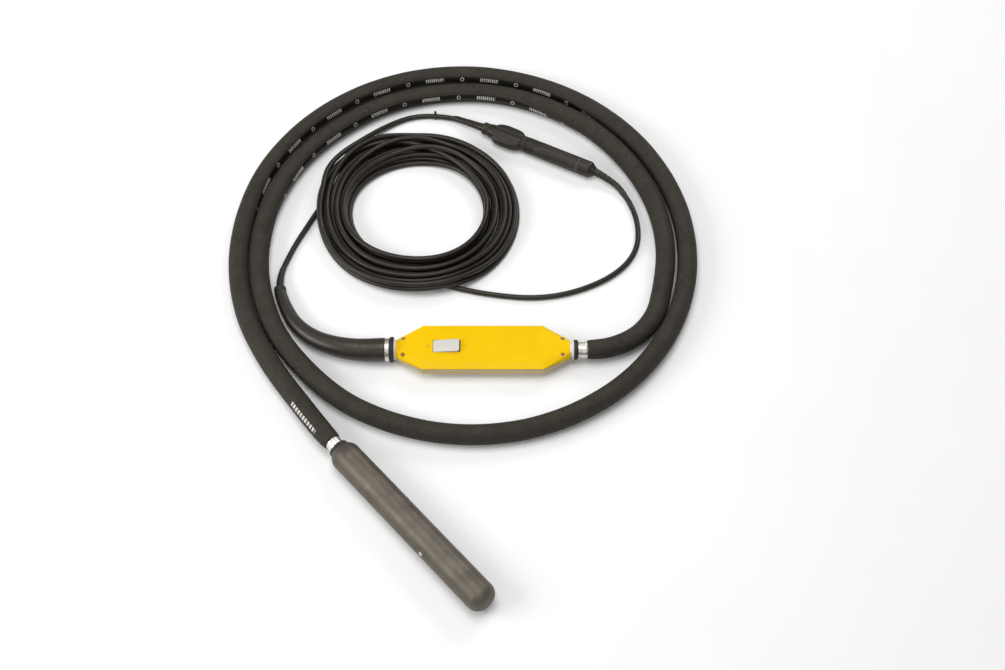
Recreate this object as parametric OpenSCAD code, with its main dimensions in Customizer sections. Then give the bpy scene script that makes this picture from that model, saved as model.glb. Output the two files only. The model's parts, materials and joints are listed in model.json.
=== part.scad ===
// Internal concrete vibrator with a built-in frequency converter.
// A steel poker head hangs on a long protective hose, the hose runs into a flat converter housing with
// a rocker switch, and a tapered rubber grip leads the mains cable out of the other end of the housing.
// The origin is the middle of the housing's flat underside, +X runs along the housing towards the
// protective hose, and +Z is up. Everything lies on the plane z = 0.

/* [Vibrator head] */
// Outer diameter of the head
head_d = 58; // [50:1:58]
// Length of the head without the hose neck
head_l = 415; // [410:1:430]
// Wall thickness of the head tube
head_wall = 5; // [4:0.5:6]
// Direction of the head in the lying pose, measured from +X
head_yaw = -48; // [-52:1:-44]
// Length of the rounded nose cap
nose_l = 62; // [58:1:66]
// Radius of the rounded corner of the nose
nose_round = 22; // [16:1:26]
// Diameter of the rotor shaft
shaft_d = 15; // [12:1:15]
// Radius of the eccentric weight
weight_r = 20; // [16:0.5:22]

/* [Protective hose] */
// Outer diameter of the protective hose
hose_d = 40; // [36:1:40]

/* [Converter housing] */
// Overall length of the housing
body_l = 338; // [330:1:345]
// Length of the straight middle stretch
body_straight = 234; // [220:1:240]
// Width of the housing
body_w = 100; // [96:1:104]
// Height of the housing
body_h = 39; // [39:0.5:41]
// Width of each narrow end
end_w = 38; // [36:1:40]
// Wall thickness of both shells
wall = 3; // [2.5:0.5:3]
// Height of the hose axis above the ground
axis_h = 26; // [26:0.5:26.5]

/* [Switch] */
// Length of the rocker
rocker_l = 51; // [48:1:51]
// Width of the rocker
rocker_w = 27; // [25:1:27]
// Tilt of the rocker to each side of level
rocker_tilt = 6; // [4:0.5:6]

/* [Power cable] */
// Outer diameter of the power cable
cable_d = 11; // [10:0.5:11]
// Outer radius of the cable coil
coil_outer_r = 211; // [205:1:212]
// Inner radius of the cable coil
coil_inner_r = 134; // [130:1:138]
// Height of the cable coil
coil_h = 33; // [30:1:34]

/* [In-line unit] */
// Diameter of the tubular in-line unit
unit_d = 35; // [33:1:35]
// Width of the plug across both finger lobes
plug_w = 52; // [48:1:54]

/* [Hidden] */

$fn = 64;
tiny = 0.02;          // thickness of the slices that a hull joins
over = 1;             // how far a cutter runs past what it cuts
run_gap = 0.05;       // radial clearance of a running fit

// Housing sections, each listed on its right-hand side from the ground up as [half width, height]
half_w = body_w / 2;
half_end = end_w / 2;
base_half_w = 30;
full_right = [
    [base_half_w, 0], [half_w, 17], [half_w, 35], [half_w - 14, 38.2], [27, body_h - 0.3], [20, body_h]
];
end_right = [[11, 12], [half_end, 19], [half_end, 31], [13, 36.5], [7, 38]];
full_inside = [[27.5, wall], [half_w - wall, 18], [half_w - wall, 33], [25, body_h - wall]];
end_inside = [[8, 15.5], [half_end - 4, 20], [half_end - 4, 30.5], [9, 35]];
end_wall = 4;
split_z = 33.8;       // height of the joint between the shells along the straight stretch
split_end_z = 24;     // height of the same joint at each end
gasket_t = 1.2;
gasket_inset = 1;
screw_x = 155;
screw_y = 18.5;
boss_r = 6;
boss_top = 36.2;
screw_r = 2.5;
screw_head_r = 4.3;
screw_head_h = 2.6;

// Switch
switch_x = -70.5;
pin_z = 33;
pin_r = 1.5;
hub_r = 3;
hub_w = 18;
rocker_bottom = 36.2;
rocker_top = 42.2;
frame_l = 58;
frame_w = 33;
frame_hole_l = 54;
frame_hole_w = 29;

// Nipples and rings at both ends of the housing, as distances from the middle of the housing
body_end = body_l / 2;
stem_r = 9;
stem_bore_r = 6;
barb_r = 13;
inlet_washer_x = body_end + 4.5;
inlet_seal_x = body_end + 12.5;
inlet_collar_x = body_end + 21.5;
inlet_barb_x = body_end + 60;
outlet_neck_x = body_end + 4;
outlet_washer_x = body_end + 8;
outlet_seal_x = body_end + 15.5;
outlet_ferrule_x = body_end + 35;
outlet_barb_x = body_end + 75;

// Head, measured along its own axis from the rear face of its shoulder
head_r = head_d / 2;
bore_r = head_r - head_wall;
head_pos = [-265, -224, head_r];
neck_ring_l = 7;
neck_l = 16;
neck_r = 15.5;
neck_bore_r = 7;
hose_start_z = -(neck_ring_l + neck_l);
shoulder_l = 16;
shoulder_r = 20.5;
spigot_r = bore_r - 0.1;
rear_spigot_end = 42;
nose_z = head_l - nose_l;
nose_spigot_z = nose_z - 22;
seal_r = 1.25;
seal_pitch_r = bore_r - 0.05 - seal_r;
groove_r = seal_pitch_r - seal_r;
rear_seal_z = 29;
nose_seal_z = nose_z - 9;
lock_z = 264;
lock_turn = -105;     // turn of the lock screw about the head's axis
lock_r = 4.2;
shaft_r = shaft_d / 2;
shaft_start = 60;
shaft_end = 330;
core_start = 96;
core_end = 224;
stator_bore_r = 13.5;
rotor_r = 12.9;
slot_count = 12;
slot_r = 2.2;
slot_pitch_r = 18.5;
winding_l = 12;
weight_start = 274;
weight_end = 312;
bearing_w = 11;
bearing_outer_r = 17.5;
bearing_pitch_r = 12.5;
ball_r = 3;
ball_count = 8;
cage_half_w = 4.2;
roller_r = 2.4;
roller_count = 12;
ball_bearing_z = 64;
roller_bearing_z = [248, 317];
carriers = [[60, 78], [242, 270], [315, 330.8]];   // start and end of each bearing carrier

// Route of the protective hose: out of the housing, almost two turns on the ground, and up to the head
hose_r = hose_d / 2;
function head_point(z) = head_pos + z * [cos(head_yaw), sin(head_yaw), 0];
hose_route = [
    [204, 0, 26], [242.8, 5.1, 25], [279, 20.1, 22.8], [310.1, 43.9, 20.7], [333.9, 75, 20],
    [349, 111, 20], [370, 245, 20], [355, 360, 20], [310, 465, 20], [237, 558, 20], [140, 625, 20],
    [30, 664, 20], [-90, 668, 20], [-205, 639, 20], [-305, 576, 20], [-384, 490, 20],
    [-435, 385, 20], [-456, 275, 20], [-448, 160, 20], [-410, 51, 20], [-343, -42, 20],
    [-255, -119, 20], [-148, -167, 20], [-30, -186, 20], [90, -172, 20], [204, -124, 20],
    [302, -45, 20], [372, 59, 20], [409, 180, 20], [410, 309, 20], [376, 433, 20], [311, 544, 20],
    [217, 634, 20], [100, 695, 20], [-30, 721, 20], [-160, 708, 20], [-283, 656, 20],
    [-384, 570, 20], [-455, 461, 20], [-491, 340, 20], [-497, 214, 20], [-471, 89, 20],
    [-415, -23, 20], [-340, -130, 23], [-312, -168, 26.9], [-295, -190, 28.5],
    head_point(hose_start_z)
];

// Tapered grip: points of its axis and its radius at each
grip_route = [
    [-190.5, 0, 26], [-197, 0, 26], [-226, 1, 23.2], [-262, 5, 21.8], [-300, 16, 19.8], [-332, 32, 17.8],
    [-359, 54, 16.2], [-377.5, 77, 14.8], [-391, 102, 13.8], [-400.5, 124, 12.8], [-408, 146, 12]
];
grip_radii = [23, 23, 22.5, 21.5, 19.5, 17.5, 16, 14.6, 13.5, 12.6, 11.8];
grip_end = grip_route[len(grip_route) - 1];
end_ring_yaw = 97;
end_ring_l = 12;
end_ring_r = 11.9;
relief_route = [[-409.4, 157.9, 12], [-410.5, 172, 11], [-410, 188, 9.5], [-408, 203, 8]];
relief_radii = [7.6, 7.2, 6.7, 6.1];

// Power cable: from the grip to the coil, and from the coil to the plug
cable_r = cable_d / 2;
coil_pos = [-134, 352];
start_route = [
    [-408, 203, 8], [-402, 226, 6.5], [-392, 255, 5.5], [-380, 285, 5.5], [-366, 315, 5.5],
    [-353, 342, 5.5]
];
end_route = [
    [-344, 398, 26], [-331, 445, 22.5], [-311, 484, 18.5], [-286, 517, 14.5], [-258, 546, 10.5],
    [-232, 569, 7.5], [-205, 589, 5.8], [-165, 610, 5.5], [-120, 616, 5.5], [-66, 607, 8]
];
tie_pos = [-108, 615, 5.5];
tie_yaw = -8;

// Plug, in-line unit and the short lead behind it, along one axis
line_pos = [-2, 572, 17.5];
line_yaw = -27.2;
plug_relief_route = [[-66, 607, 8], [-45, 596.5, 11], [-22, 583, 15], line_pos];
plug_relief_radii = [6.3, 7.2, 8.2, 9.2];
plug_end = 104;
lobe_l = 64;
lobe_h = 20;
lobe_middle = 59;
unit_end = 264;
unit_r = unit_d / 2;
unit_ring_s = 222;
contact_r = 2.4;
function line_point(s) = line_pos + s * [cos(line_yaw), sin(line_yaw), 0];
lead_relief_route = [line_point(unit_end), [256, 437, 14], [279, 419, 9.5], [293, 399, 6.5]];
lead_relief_radii = [8.6, 7.6, 6.6, 6];
lead_route = [
    [293, 399, 6.5], [306, 371, 5.5], [315, 338, 5.5], [318, 303, 5.5], [314, 268, 5.5],
    [301, 236, 5.5], [279, 208, 5.5], [248, 183, 5.5], [211, 163, 5.5], [171, 148, 5.5],
    [128, 139, 5.5], [84, 137, 5.5], [40, 141, 5.5], [-3, 148, 5.5], [-46, 158, 5.5],
    [-88, 169, 7], [-128, 178, 10]
];
mains_plug_pos = [-128, 178, 10];
mains_plug_yaw = 172;
mains_plug_l = 44;
mains_plug_w = 26;
mains_plug_h = 20;

// ---------------------------------------------------------------- helpers

// A closed tube of flat-sided rings along a route, with one radius or one for each point
module swept_tube(route, radii, sides) {
    last = len(route) - 1;
    radius = function (i) is_list(radii) ? radii[i] : radii;
    points = [
        for (i = [0 : last])
            let (along = unit(route[min(i + 1, last)] - route[max(i - 1, 0)]))
            let (side = unit(cross(along, [0, 0, 1])))
            let (up = cross(side, along))
            for (j = [0 : sides - 1])
                let (turn = 360 * (j + 0.5) / sides)
                route[i] + radius(i) * (cos(turn) * side + sin(turn) * up)
    ];
    walls = [
        for (i = [0 : last - 1])
            for (j = [0 : sides - 1])
                let (a = i * sides + j)
                let (b = i * sides + (j + 1) % sides)
                [a, b, b + sides, a + sides]
    ];
    first_cap = [[for (j = [sides - 1 : -1 : 0]) j]];
    last_cap = [[for (j = [0 : sides - 1]) last * sides + j]];
    polyhedron(points = points, faces = concat(walls, first_cap, last_cap), convexity = 10);
}

function unit(v) = v / norm(v);

// A ring about Z between two heights
module ring(outer, inner, from, to) {
    translate([0, 0, from])
        difference() {
            cylinder(r = outer, h = to - from);
            translate([0, 0, -over])
                cylinder(r = inner, h = to - from + 2 * over);
        }
}

// A round rod between two points
module rod(a, b, r) {
    v = b - a;
    translate(a)
        rotate([0, acos(v[2] / norm(v)), atan2(v[1], v[0])])
            cylinder(r = r, h = norm(v), $fn = 24);
}

// A plate with rounded corners, centred in X and Y
module rounded_plate(l, w, h, r) {
    linear_extrude(height = h)
        union() {
            square([l - 2 * r, w], center = true);
            square([l, w - 2 * r], center = true);
            for (x = [-1, 1], y = [-1, 1])
                translate([x * (l / 2 - r), y * (w / 2 - r)])
                    circle(r = r, $fn = 32);
        }
}

// Turns Z into the axis of the head, of the housing's right end or of its left end
module on_head() {
    translate(head_pos)
        rotate([0, 90, head_yaw])
            children();
}

module on_outlet() {
    translate([0, 0, axis_h])
        rotate([0, 90, 0])
            children();
}

module on_inlet() {
    translate([0, 0, axis_h])
        rotate([0, -90, 0])
            children();
}

module on_line() {
    translate(line_pos)
        rotate([0, 90, line_yaw])
            children();
}

// ---------------------------------------------------------------- housing

function mirrored(right) = concat(
    right,
    [for (i = [len(right) - 1 : -1 : 0]) [-right[i][0], right[i][1]]]
);

module section_slice(x, right) {
    translate([x, 0, 0])
        rotate([90, 0, 90])
            linear_extrude(height = tiny, center = true)
                polygon(mirrored(right));
}

// The housing's outer form, or its cavity
module housing_form(full, ends, straight, length) {
    hull()
        for (s = [-1, 1]) {
            section_slice(s * straight / 2, full);
            section_slice(s * length / 2, ends);
        }
}

module outer_form() {
    housing_form(full_right, end_right, body_straight, body_l);
}

module cavity() {
    housing_form(full_inside, end_inside, body_straight - 3, body_l - 2 * end_wall);
}

// Everything above the joint between the shells, shifted up or down
module above_split(shift) {
    reach = body_end + 10;
    slope = (split_z - split_end_z) / (body_end - body_straight / 2);
    low = split_end_z - 10 * slope + shift;
    rotate([90, 0, 0])
        linear_extrude(height = 2 * body_w, center = true)
            polygon([
                [-reach, low], [-body_straight / 2, split_z + shift], [body_straight / 2, split_z + shift],
                [reach, low], [reach, 2 * body_h], [-reach, 2 * body_h]
            ]);
}

module at_screws() {
    for (x = [-screw_x, screw_x], y = [-screw_y, screw_y])
        translate([x, y, 0])
            children();
}

module stem_holes() {
    for (s = [-1, 1])
        translate([s * (body_end - end_wall / 2), 0, axis_h])
            rotate([0, 90, 0])
                cylinder(r = stem_r, h = 3 * end_wall, center = true);
}

module upper_shell() {
    color("gold")
        difference() {
            intersection() {
                union() {
                    difference() {
                        outer_form();
                        cavity();
                    }
                    at_screws()
                        translate([0, 0, 20])
                            cylinder(r = boss_r, h = boss_top - 20);
                }
                above_split(gasket_t / 2);
            }
            at_screws() {
                cylinder(r = screw_r + 0.3, h = body_h + over);
                translate([0, 0, boss_top - screw_head_h])
                    cylinder(r = screw_head_r + 0.2, h = 10);
            }
            stem_holes();
            translate([switch_x, 0, body_h - 10])
                rounded_plate(frame_l, frame_w, 20, 5);
        }
}

module lower_shell() {
    color("darkkhaki")
        difference() {
            union() {
                difference() {
                    outer_form();
                    cavity();
                }
                at_screws()
                    translate([0, 0, 12])
                        cylinder(r = boss_r, h = 30);
                for (x = [-85, 85], y = [-28, 28])
                    translate([x, y, wall - 0.5])
                        cylinder(r = 4, h = 12.5);
            }
            above_split(-gasket_t / 2);
            at_screws()
                translate([0, 0, 14])
                    cylinder(r = screw_r, h = 40);
            stem_holes();
        }
}

module shell_gasket() {
    color("dimgray")
        difference() {
            intersection() {
                scale([
                    (body_l - 2 * gasket_inset) / body_l, (body_w - 2 * gasket_inset) / body_w, 1
                ])
                    outer_form();
                above_split(-gasket_t / 2);
            }
            above_split(gasket_t / 2);
            cavity();
            stem_holes();
        }
}

module housing_screws() {
    color("silver")
        at_screws() {
            difference() {
                translate([0, 0, boss_top - screw_head_h])
                    cylinder(r = screw_head_r, h = screw_head_h);
                translate([0, 0, boss_top - 1.6])
                    cylinder(r = 2.3, h = 3, $fn = 6);
            }
            translate([0, 0, 16])
                cylinder(r = screw_r, h = boss_top - screw_head_h - 16);
        }
}

// ---------------------------------------------------------------- switch

module switch_frame() {
    color("gold")
        translate([switch_x, 0, 0])
            difference() {
                union() {
                    translate([0, 0, body_h])
                        rounded_plate(frame_l + 2, frame_w + 2, 0.8, 6);
                    translate([0, 0, body_h - 5.4])
                        rounded_plate(frame_l, frame_w, 5.4, 5);
                }
                translate([0, 0, body_h - 10])
                    rounded_plate(frame_hole_l, frame_hole_w, 20, 4);
            }
}

module switch_body() {
    ear_t = 3;
    color("black")
        translate([switch_x, 0, 0])
            difference() {
                union() {
                    translate([0, 0, 25.8])
                        cube([50, 28, 11.6], center = true);
                    translate([0, 0, 32.1])
                        cube([frame_l, frame_w, 2.2], center = true);
                    for (s = [-1, 1])
                        translate([0, s * (hub_w / 2 + 0.3 + ear_t / 2), 33.6])
                            cube([7, ear_t, 3.2], center = true);
                }
                translate([0, 0, 33])
                    cube([42, hub_w + 0.6, 8], center = true);
                translate([0, 0, pin_z])
                    rotate([90, 0, 0])
                        cylinder(r = pin_r, h = 60, center = true);
            }
}

module rocker_pin() {
    color("silver")
        translate([switch_x, 0, pin_z])
            rotate([90, 0, 0])
                cylinder(r = pin_r, h = hub_w + 6.4, center = true);
}

module switch_rocker() {
    color("gainsboro")
        translate([switch_x, 0, pin_z])
            rotate([0, -rocker_tilt, 0])
                translate([0, 0, -pin_z])
                    difference() {
                        union() {
                            translate([0, 0, rocker_bottom])
                                rounded_plate(rocker_l, rocker_w, rocker_top - rocker_bottom, 4);
                            translate([0, 0, pin_z])
                                rotate([90, 0, 0])
                                    cylinder(r = hub_r, h = hub_w, center = true);
                            translate([0, 0, (pin_z + rocker_bottom) / 2 + 0.5])
                                cube([2 * hub_r, hub_w, rocker_bottom - pin_z + 1], center = true);
                        }
                        translate([0, 0, pin_z])
                            rotate([90, 0, 0])
                                cylinder(r = pin_r + run_gap, h = 60, center = true);
                    }
}

// ---------------------------------------------------------------- converter

module heat_sink() {
    color("silver") {
        translate([0, 0, wall + 1.5])
            cube([156, 50, 3], center = true);
        for (y = [-22 : 4 : 22])
            translate([29, y, wall + 4])
                cube([94, 1.6, 2.4], center = true);
    }
}

module power_module() {
    color("dimgray")
        translate([-50, 0, wall + 7])
            cube([62, 44, 8], center = true);
}

module converter_board() {
    color("green")
        difference() {
            translate([0, 0, 15.8])
                cube([196, 74, 1.6], center = true);
            for (x = [-85, 85], y = [-28, 28])
                translate([x, y, 0])
                    cylinder(r = 1.7, h = 30);
        }
}

module smoothing_capacitors() {
    color("navy")
        for (i = [0 : 3])
            translate([6, -27 + 18 * i, 16.6 + 8.2])
                rotate([0, 90, 0])
                    cylinder(r = 8, h = 38);
}

module filter_choke() {
    color("orange")
        translate([70, 0, 16.6])
            rotate_extrude()
                translate([11, 7.5])
                    circle(r = 6.5, $fn = 32);
}

module terminal_blocks() {
    color("gray")
        for (x = [-112, 106])
            difference() {
                translate([x, 0, 15])
                    cube([14, 36, 14], center = true);
                for (y = [-12, 0, 12])
                    translate([x, y, 17])
                        rotate([0, 90, 0])
                            cylinder(r = 2.5, h = 40, center = true);
            }
}

// ---------------------------------------------------------------- inlet and grip

module nipple(neck_to, barb_to) {
    difference() {
        rotate_extrude()
            polygon([
                [0, body_end - end_wall - 5], [stem_r, body_end - end_wall - 5],
                [stem_r, neck_to], [barb_r, neck_to],
                [barb_r - 0.8, neck_to + 9], [barb_r, neck_to + 10], [barb_r - 0.8, neck_to + 20],
                [barb_r, neck_to + 21], [barb_r - 1.5, barb_to], [0, barb_to]
            ]);
        translate([0, 0, body_end - end_wall - 6])
            cylinder(r = stem_bore_r, h = barb_to - body_end + end_wall + 7);
    }
}

module inlet_nipple() {
    color("silver")
        on_inlet()
            nipple(inlet_collar_x, inlet_barb_x);
}

module inlet_washer() {
    color("cornsilk")
        on_inlet()
            ring(20, stem_r, body_end, inlet_washer_x);
}

module inlet_seal() {
    color("black")
        on_inlet()
            ring(25.5, stem_r, inlet_washer_x, inlet_seal_x);
}

module inlet_collar() {
    color("white")
        on_inlet()
            ring(23, stem_r, inlet_seal_x, inlet_collar_x);
}

module handle_grip() {
    color("black")
        swept_tube(grip_route, grip_radii, 16);
}

module handle_end_ring() {
    color("black")
        translate(grip_end)
            rotate([0, 90, end_ring_yaw])
                ring(end_ring_r, 4, 0, end_ring_l);
}

module cable_relief() {
    color("black")
        swept_tube(relief_route, relief_radii, 12);
}

// ---------------------------------------------------------------- outlet and protective hose

module outlet_nipple() {
    color("silver")
        on_outlet()
            nipple(outlet_ferrule_x, outlet_barb_x);
}

module outlet_washer() {
    color("white")
        on_outlet() {
            ring(15, stem_r, body_end, outlet_neck_x);
            ring(19, stem_r, outlet_neck_x, outlet_washer_x);
        }
}

module outlet_seal() {
    color("black")
        on_outlet()
            ring(20, stem_r, outlet_washer_x, outlet_seal_x);
}

module outlet_ferrule() {
    color("silver")
        on_outlet()
            ring(16, stem_r, outlet_seal_x, outlet_ferrule_x);
}

module protective_hose() {
    color("black")
        swept_tube(hose_route, hose_r, 12);
}

// ---------------------------------------------------------------- head

module hose_neck() {
    color("silver")
        on_head()
            difference() {
                rotate_extrude()
                    polygon([
                        [0, hose_start_z - 40], [barb_r - 2, hose_start_z - 40],
                        [barb_r - 0.5, hose_start_z - 22], [barb_r - 1.3, hose_start_z - 21],
                        [barb_r - 0.5, hose_start_z - 1], [barb_r - 0.5, hose_start_z],
                        [neck_r, hose_start_z], [neck_r, -neck_ring_l], [13.5, -neck_ring_l],
                        [13.5, 0], [11, 0], [11, 20], [0, 20]
                    ]);
                translate([0, 0, hose_start_z - 41])
                    cylinder(r = neck_bore_r, h = 90);
            }
}

module neck_ring() {
    color("black")
        on_head()
            ring(20, 13.5, -neck_ring_l, 0);
}

module rear_adapter() {
    color("gray")
        on_head()
            difference() {
                rotate_extrude()
                    polygon([
                        [0, 0], [shoulder_r, 0], [shoulder_r + 1, 0.8], [head_r - 4.4, shoulder_l - 10.5],
                        [head_r - 1.6, shoulder_l - 5], [head_r - 0.4, shoulder_l - 1.5],
                        [head_r, shoulder_l], [spigot_r, shoulder_l],
                        [spigot_r, rear_seal_z - 1.6], [groove_r, rear_seal_z - 1.6],
                        [groove_r, rear_seal_z + 1.6], [spigot_r, rear_seal_z + 1.6],
                        [spigot_r, rear_spigot_end], [0, rear_spigot_end]
                    ]);
                translate([0, 0, -over])
                    cylinder(r = 11, h = 21 + over);
                cylinder(r = 9, h = 60);
                translate([0, 0, 30])
                    cylinder(r = 19, h = 20);
            }
}

module seal_at(z) {
    translate([0, 0, z])
        rotate_extrude()
            translate([seal_pitch_r, 0])
                circle(r = seal_r, $fn = 24);
}

module adapter_seal() {
    color("black")
        on_head()
            seal_at(rear_seal_z);
}

module head_tube() {
    color("gray")
        on_head()
            difference() {
                ring(head_r, bore_r, shoulder_l, nose_z);
                translate([0, 0, lock_z])
                    rotate([0, 90, lock_turn])
                        cylinder(r = lock_r, h = 2 * head_r, $fn = 32);
            }
}

module nose_cap() {
    arc_steps = 8;
    nose_arc = [
        for (i = [0 : arc_steps])
            let (turn = 90 * i / arc_steps)
            [head_r - nose_round + nose_round * cos(turn), head_l - nose_round + nose_round * sin(turn)]
    ];
    color("gray")
        on_head()
            difference() {
                rotate_extrude()
                    polygon(concat(
                        [
                            [0, nose_spigot_z], [spigot_r, nose_spigot_z],
                            [spigot_r, nose_seal_z - 1.6], [groove_r, nose_seal_z - 1.6],
                            [groove_r, nose_seal_z + 1.6], [spigot_r, nose_seal_z + 1.6],
                            [spigot_r, nose_z], [head_r, nose_z]
                        ],
                        nose_arc,
                        [[0, head_l]]
                    ));
                translate([0, 0, nose_spigot_z - over])
                    cylinder(r = 17, h = 50);
            }
}

module nose_seal() {
    color("black")
        on_head()
            seal_at(nose_seal_z);
}

module lock_screw() {
    color("white")
        on_head()
            translate([0, 0, lock_z])
                rotate([0, 90, lock_turn])
                    difference() {
                        translate([0, 0, bore_r - 4])
                            cylinder(r = lock_r, h = head_wall + 3.6, $fn = 32);
                        translate([0, 0, head_r - 2])
                            cylinder(r = 2.3, h = 5, $fn = 6);
                    }
}

module stator_core() {
    color("slategray")
        on_head()
            difference() {
                ring(bore_r, stator_bore_r, core_start, core_end);
                for (i = [0 : slot_count - 1])
                    rotate([0, 0, 360 * i / slot_count])
                        translate([slot_pitch_r, 0, core_start - over])
                            cylinder(r = slot_r, h = core_end - core_start + 2 * over, $fn = 24);
            }
}

module stator_windings() {
    color("chocolate")
        on_head() {
            ring(22.5, 14.5, core_start - winding_l, core_start);
            ring(22.5, 14.5, core_end, core_end + winding_l);
            for (i = [0 : slot_count - 1])
                rotate([0, 0, 360 * i / slot_count])
                    translate([slot_pitch_r, 0, core_start - 1])
                        cylinder(r = slot_r, h = core_end - core_start + 2, $fn = 24);
        }
}

module motor_lead() {
    lead_r = 5;
    fan = 44;
    color("black")
        on_head() {
            translate([0, 0, hose_start_z - 38])
                cylinder(r = lead_r, h = fan - hose_start_z + 38, $fn = 32);
            for (turn = [30, 150, 270])
                rotate([0, 0, turn]) {
                    rod([2.5, 0, fan - 3], [20.6, 0, 57], 1.4);
                    translate([20.6, 0, 57])
                        sphere(r = 1.7, $fn = 24);
                    rod([20.6, 0, 57], [20.6, 0, core_start - winding_l], 1.4);
                }
        }
}

module bearing_carriers() {
    color("darkgray")
        on_head()
            difference() {
                for (c = carriers)
                    ring(spigot_r, bearing_outer_r, c[0], c[1]);
                for (turn = [30, 150, 270])
                    rotate([0, 0, turn])
                        translate([20.6, 0, carriers[0][0] - over])
                            cylinder(r = 1.5, h = 20, $fn = 24);
                translate([0, 0, lock_z])
                    rotate([0, 90, lock_turn])
                        cylinder(r = lock_r, h = 2 * head_r, $fn = 32);
            }
}

// A bearing ring with a groove for balls
module grooved_ring(outer, inner) {
    difference() {
        ring(outer, inner, ball_bearing_z, ball_bearing_z + bearing_w);
        translate([0, 0, ball_bearing_z + bearing_w / 2])
            rotate_extrude()
                translate([bearing_pitch_r, 0])
                    circle(r = ball_r + run_gap, $fn = 32);
    }
}

module ball_bearing_outer() {
    color("silver")
        on_head()
            grooved_ring(bearing_outer_r, 14.3);
}

module ball_bearing_inner() {
    color("silver")
        on_head()
            grooved_ring(10.7, shaft_r);
}

module at_balls() {
    for (i = [0 : ball_count - 1])
        rotate([0, 0, 360 * i / ball_count])
            translate([bearing_pitch_r, 0, ball_bearing_z + bearing_w / 2])
                children();
}

module bearing_balls() {
    color("white")
        on_head()
            at_balls()
                sphere(r = ball_r, $fn = 32);
}

module ball_cage() {
    middle = ball_bearing_z + bearing_w / 2;
    color("peru")
        on_head()
            difference() {
                ring(13.4, 11.6, middle - cage_half_w, middle + cage_half_w);
                at_balls()
                    rotate([0, 90, 0])
                        cylinder(r = ball_r + run_gap, h = 10, center = true, $fn = 32);
            }
}

module roller_bearing_outers() {
    color("silver")
        on_head()
            for (z = roller_bearing_z)
                ring(bearing_outer_r, bearing_pitch_r + roller_r + run_gap, z, z + bearing_w);
}

module roller_bearing_inners() {
    color("silver")
        on_head()
            for (z = roller_bearing_z)
                ring(bearing_pitch_r - roller_r - run_gap, shaft_r, z, z + bearing_w);
}

module bearing_rollers() {
    color("white")
        on_head()
            for (z = roller_bearing_z, i = [0 : roller_count - 1])
                rotate([0, 0, 360 * i / roller_count])
                    translate([bearing_pitch_r, 0, z + 1])
                        cylinder(r = roller_r, h = bearing_w - 2, $fn = 24);
}

module rotor_shaft() {
    color("lightgray")
        on_head()
            translate([0, 0, shaft_start])
                cylinder(r = shaft_r, h = shaft_end - shaft_start);
}

module rotor_core() {
    color("gray")
        on_head()
            ring(rotor_r, shaft_r, core_start + 2, core_end - 2);
}

module eccentric_weight() {
    color("dimgray")
        on_head()
            difference() {
                ring(weight_r, shaft_r, weight_start, weight_end);
                translate([-weight_r - over, -4 - weight_r, weight_start - over])
                    cube([2 * weight_r + 2 * over, weight_r - 4, weight_end - weight_start + 2 * over]);
            }
}

// ---------------------------------------------------------------- power cable and in-line unit

module power_cable_start() {
    color("black")
        swept_tube(start_route, cable_r, 8);
}

module power_cable_coil() {
    corner = 10;
    color("black")
        difference() {
            translate([coil_pos[0], coil_pos[1], 0])
                rotate_extrude($fn = 96)
                    polygon([
                        [coil_inner_r, 0], [coil_outer_r, 0], [coil_outer_r, coil_h - corner],
                        [coil_outer_r - corner, coil_h], [coil_inner_r + corner, coil_h],
                        [coil_inner_r, coil_h - corner]
                    ]);
            plug_pocket();
        }
}

// Room under the coil for the mains plug and the end of its lead
module plug_pocket() {
    translate([mains_plug_pos[0], mains_plug_pos[1], -over])
        rotate([0, 0, mains_plug_yaw])
            translate([-12, -mains_plug_w / 2 - 1, 0])
                cube([mains_plug_l + 34, mains_plug_w + 2, mains_plug_h + 1 + over]);
    translate([mains_plug_pos[0], mains_plug_pos[1], -over])
        rotate([0, 0, mains_plug_yaw - 7])
            translate([-110, -10, 0])
                cube([112, 20, 17 + over]);
}

module power_cable_end() {
    color("black")
        swept_tube(end_route, cable_r, 8);
}

module cable_tie() {
    color("black")
        translate(tie_pos)
            rotate([0, 90, tie_yaw]) {
                ring(cable_r + 1.4, cable_r + 0.1, -2.5, 2.5);
                translate([-cable_r - 3.2, 0, 0])
                    cube([5, 7, 5], center = true);
                translate([-cable_r - 7, 1.5, 0])
                    cube([6, 1.4, 3.4], center = true);
            }
}

module plug_relief() {
    color("black")
        swept_tube(plug_relief_route, plug_relief_radii, 12);
}

module plug_body() {
    color("black")
        on_line()
            difference() {
                union() {
                    rotate_extrude()
                        polygon([
                            [0, 0], [12, 0], [13.5, 3], [13.5, 14], [15.5, 20], [17, 30],
                            [17, plug_end - 1.5], [15.5, plug_end], [0, plug_end]
                        ]);
                    translate([-lobe_h / 2, 0, lobe_middle])
                        rotate([0, 90, 0])
                            rounded_plate(lobe_l, plug_w, lobe_h, 14);
                }
                for (turn = [0, 120, 240])
                    rotate([0, 0, turn])
                        translate([7, 0, plug_end - 20])
                            cylinder(r = contact_r, h = 30, $fn = 24);
            }
}

module plug_contacts() {
    color("goldenrod")
        on_line()
            for (turn = [0, 120, 240])
                rotate([0, 0, turn])
                    translate([7, 0, plug_end - 20])
                        cylinder(r = contact_r, h = 38, $fn = 24);
}

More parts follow.
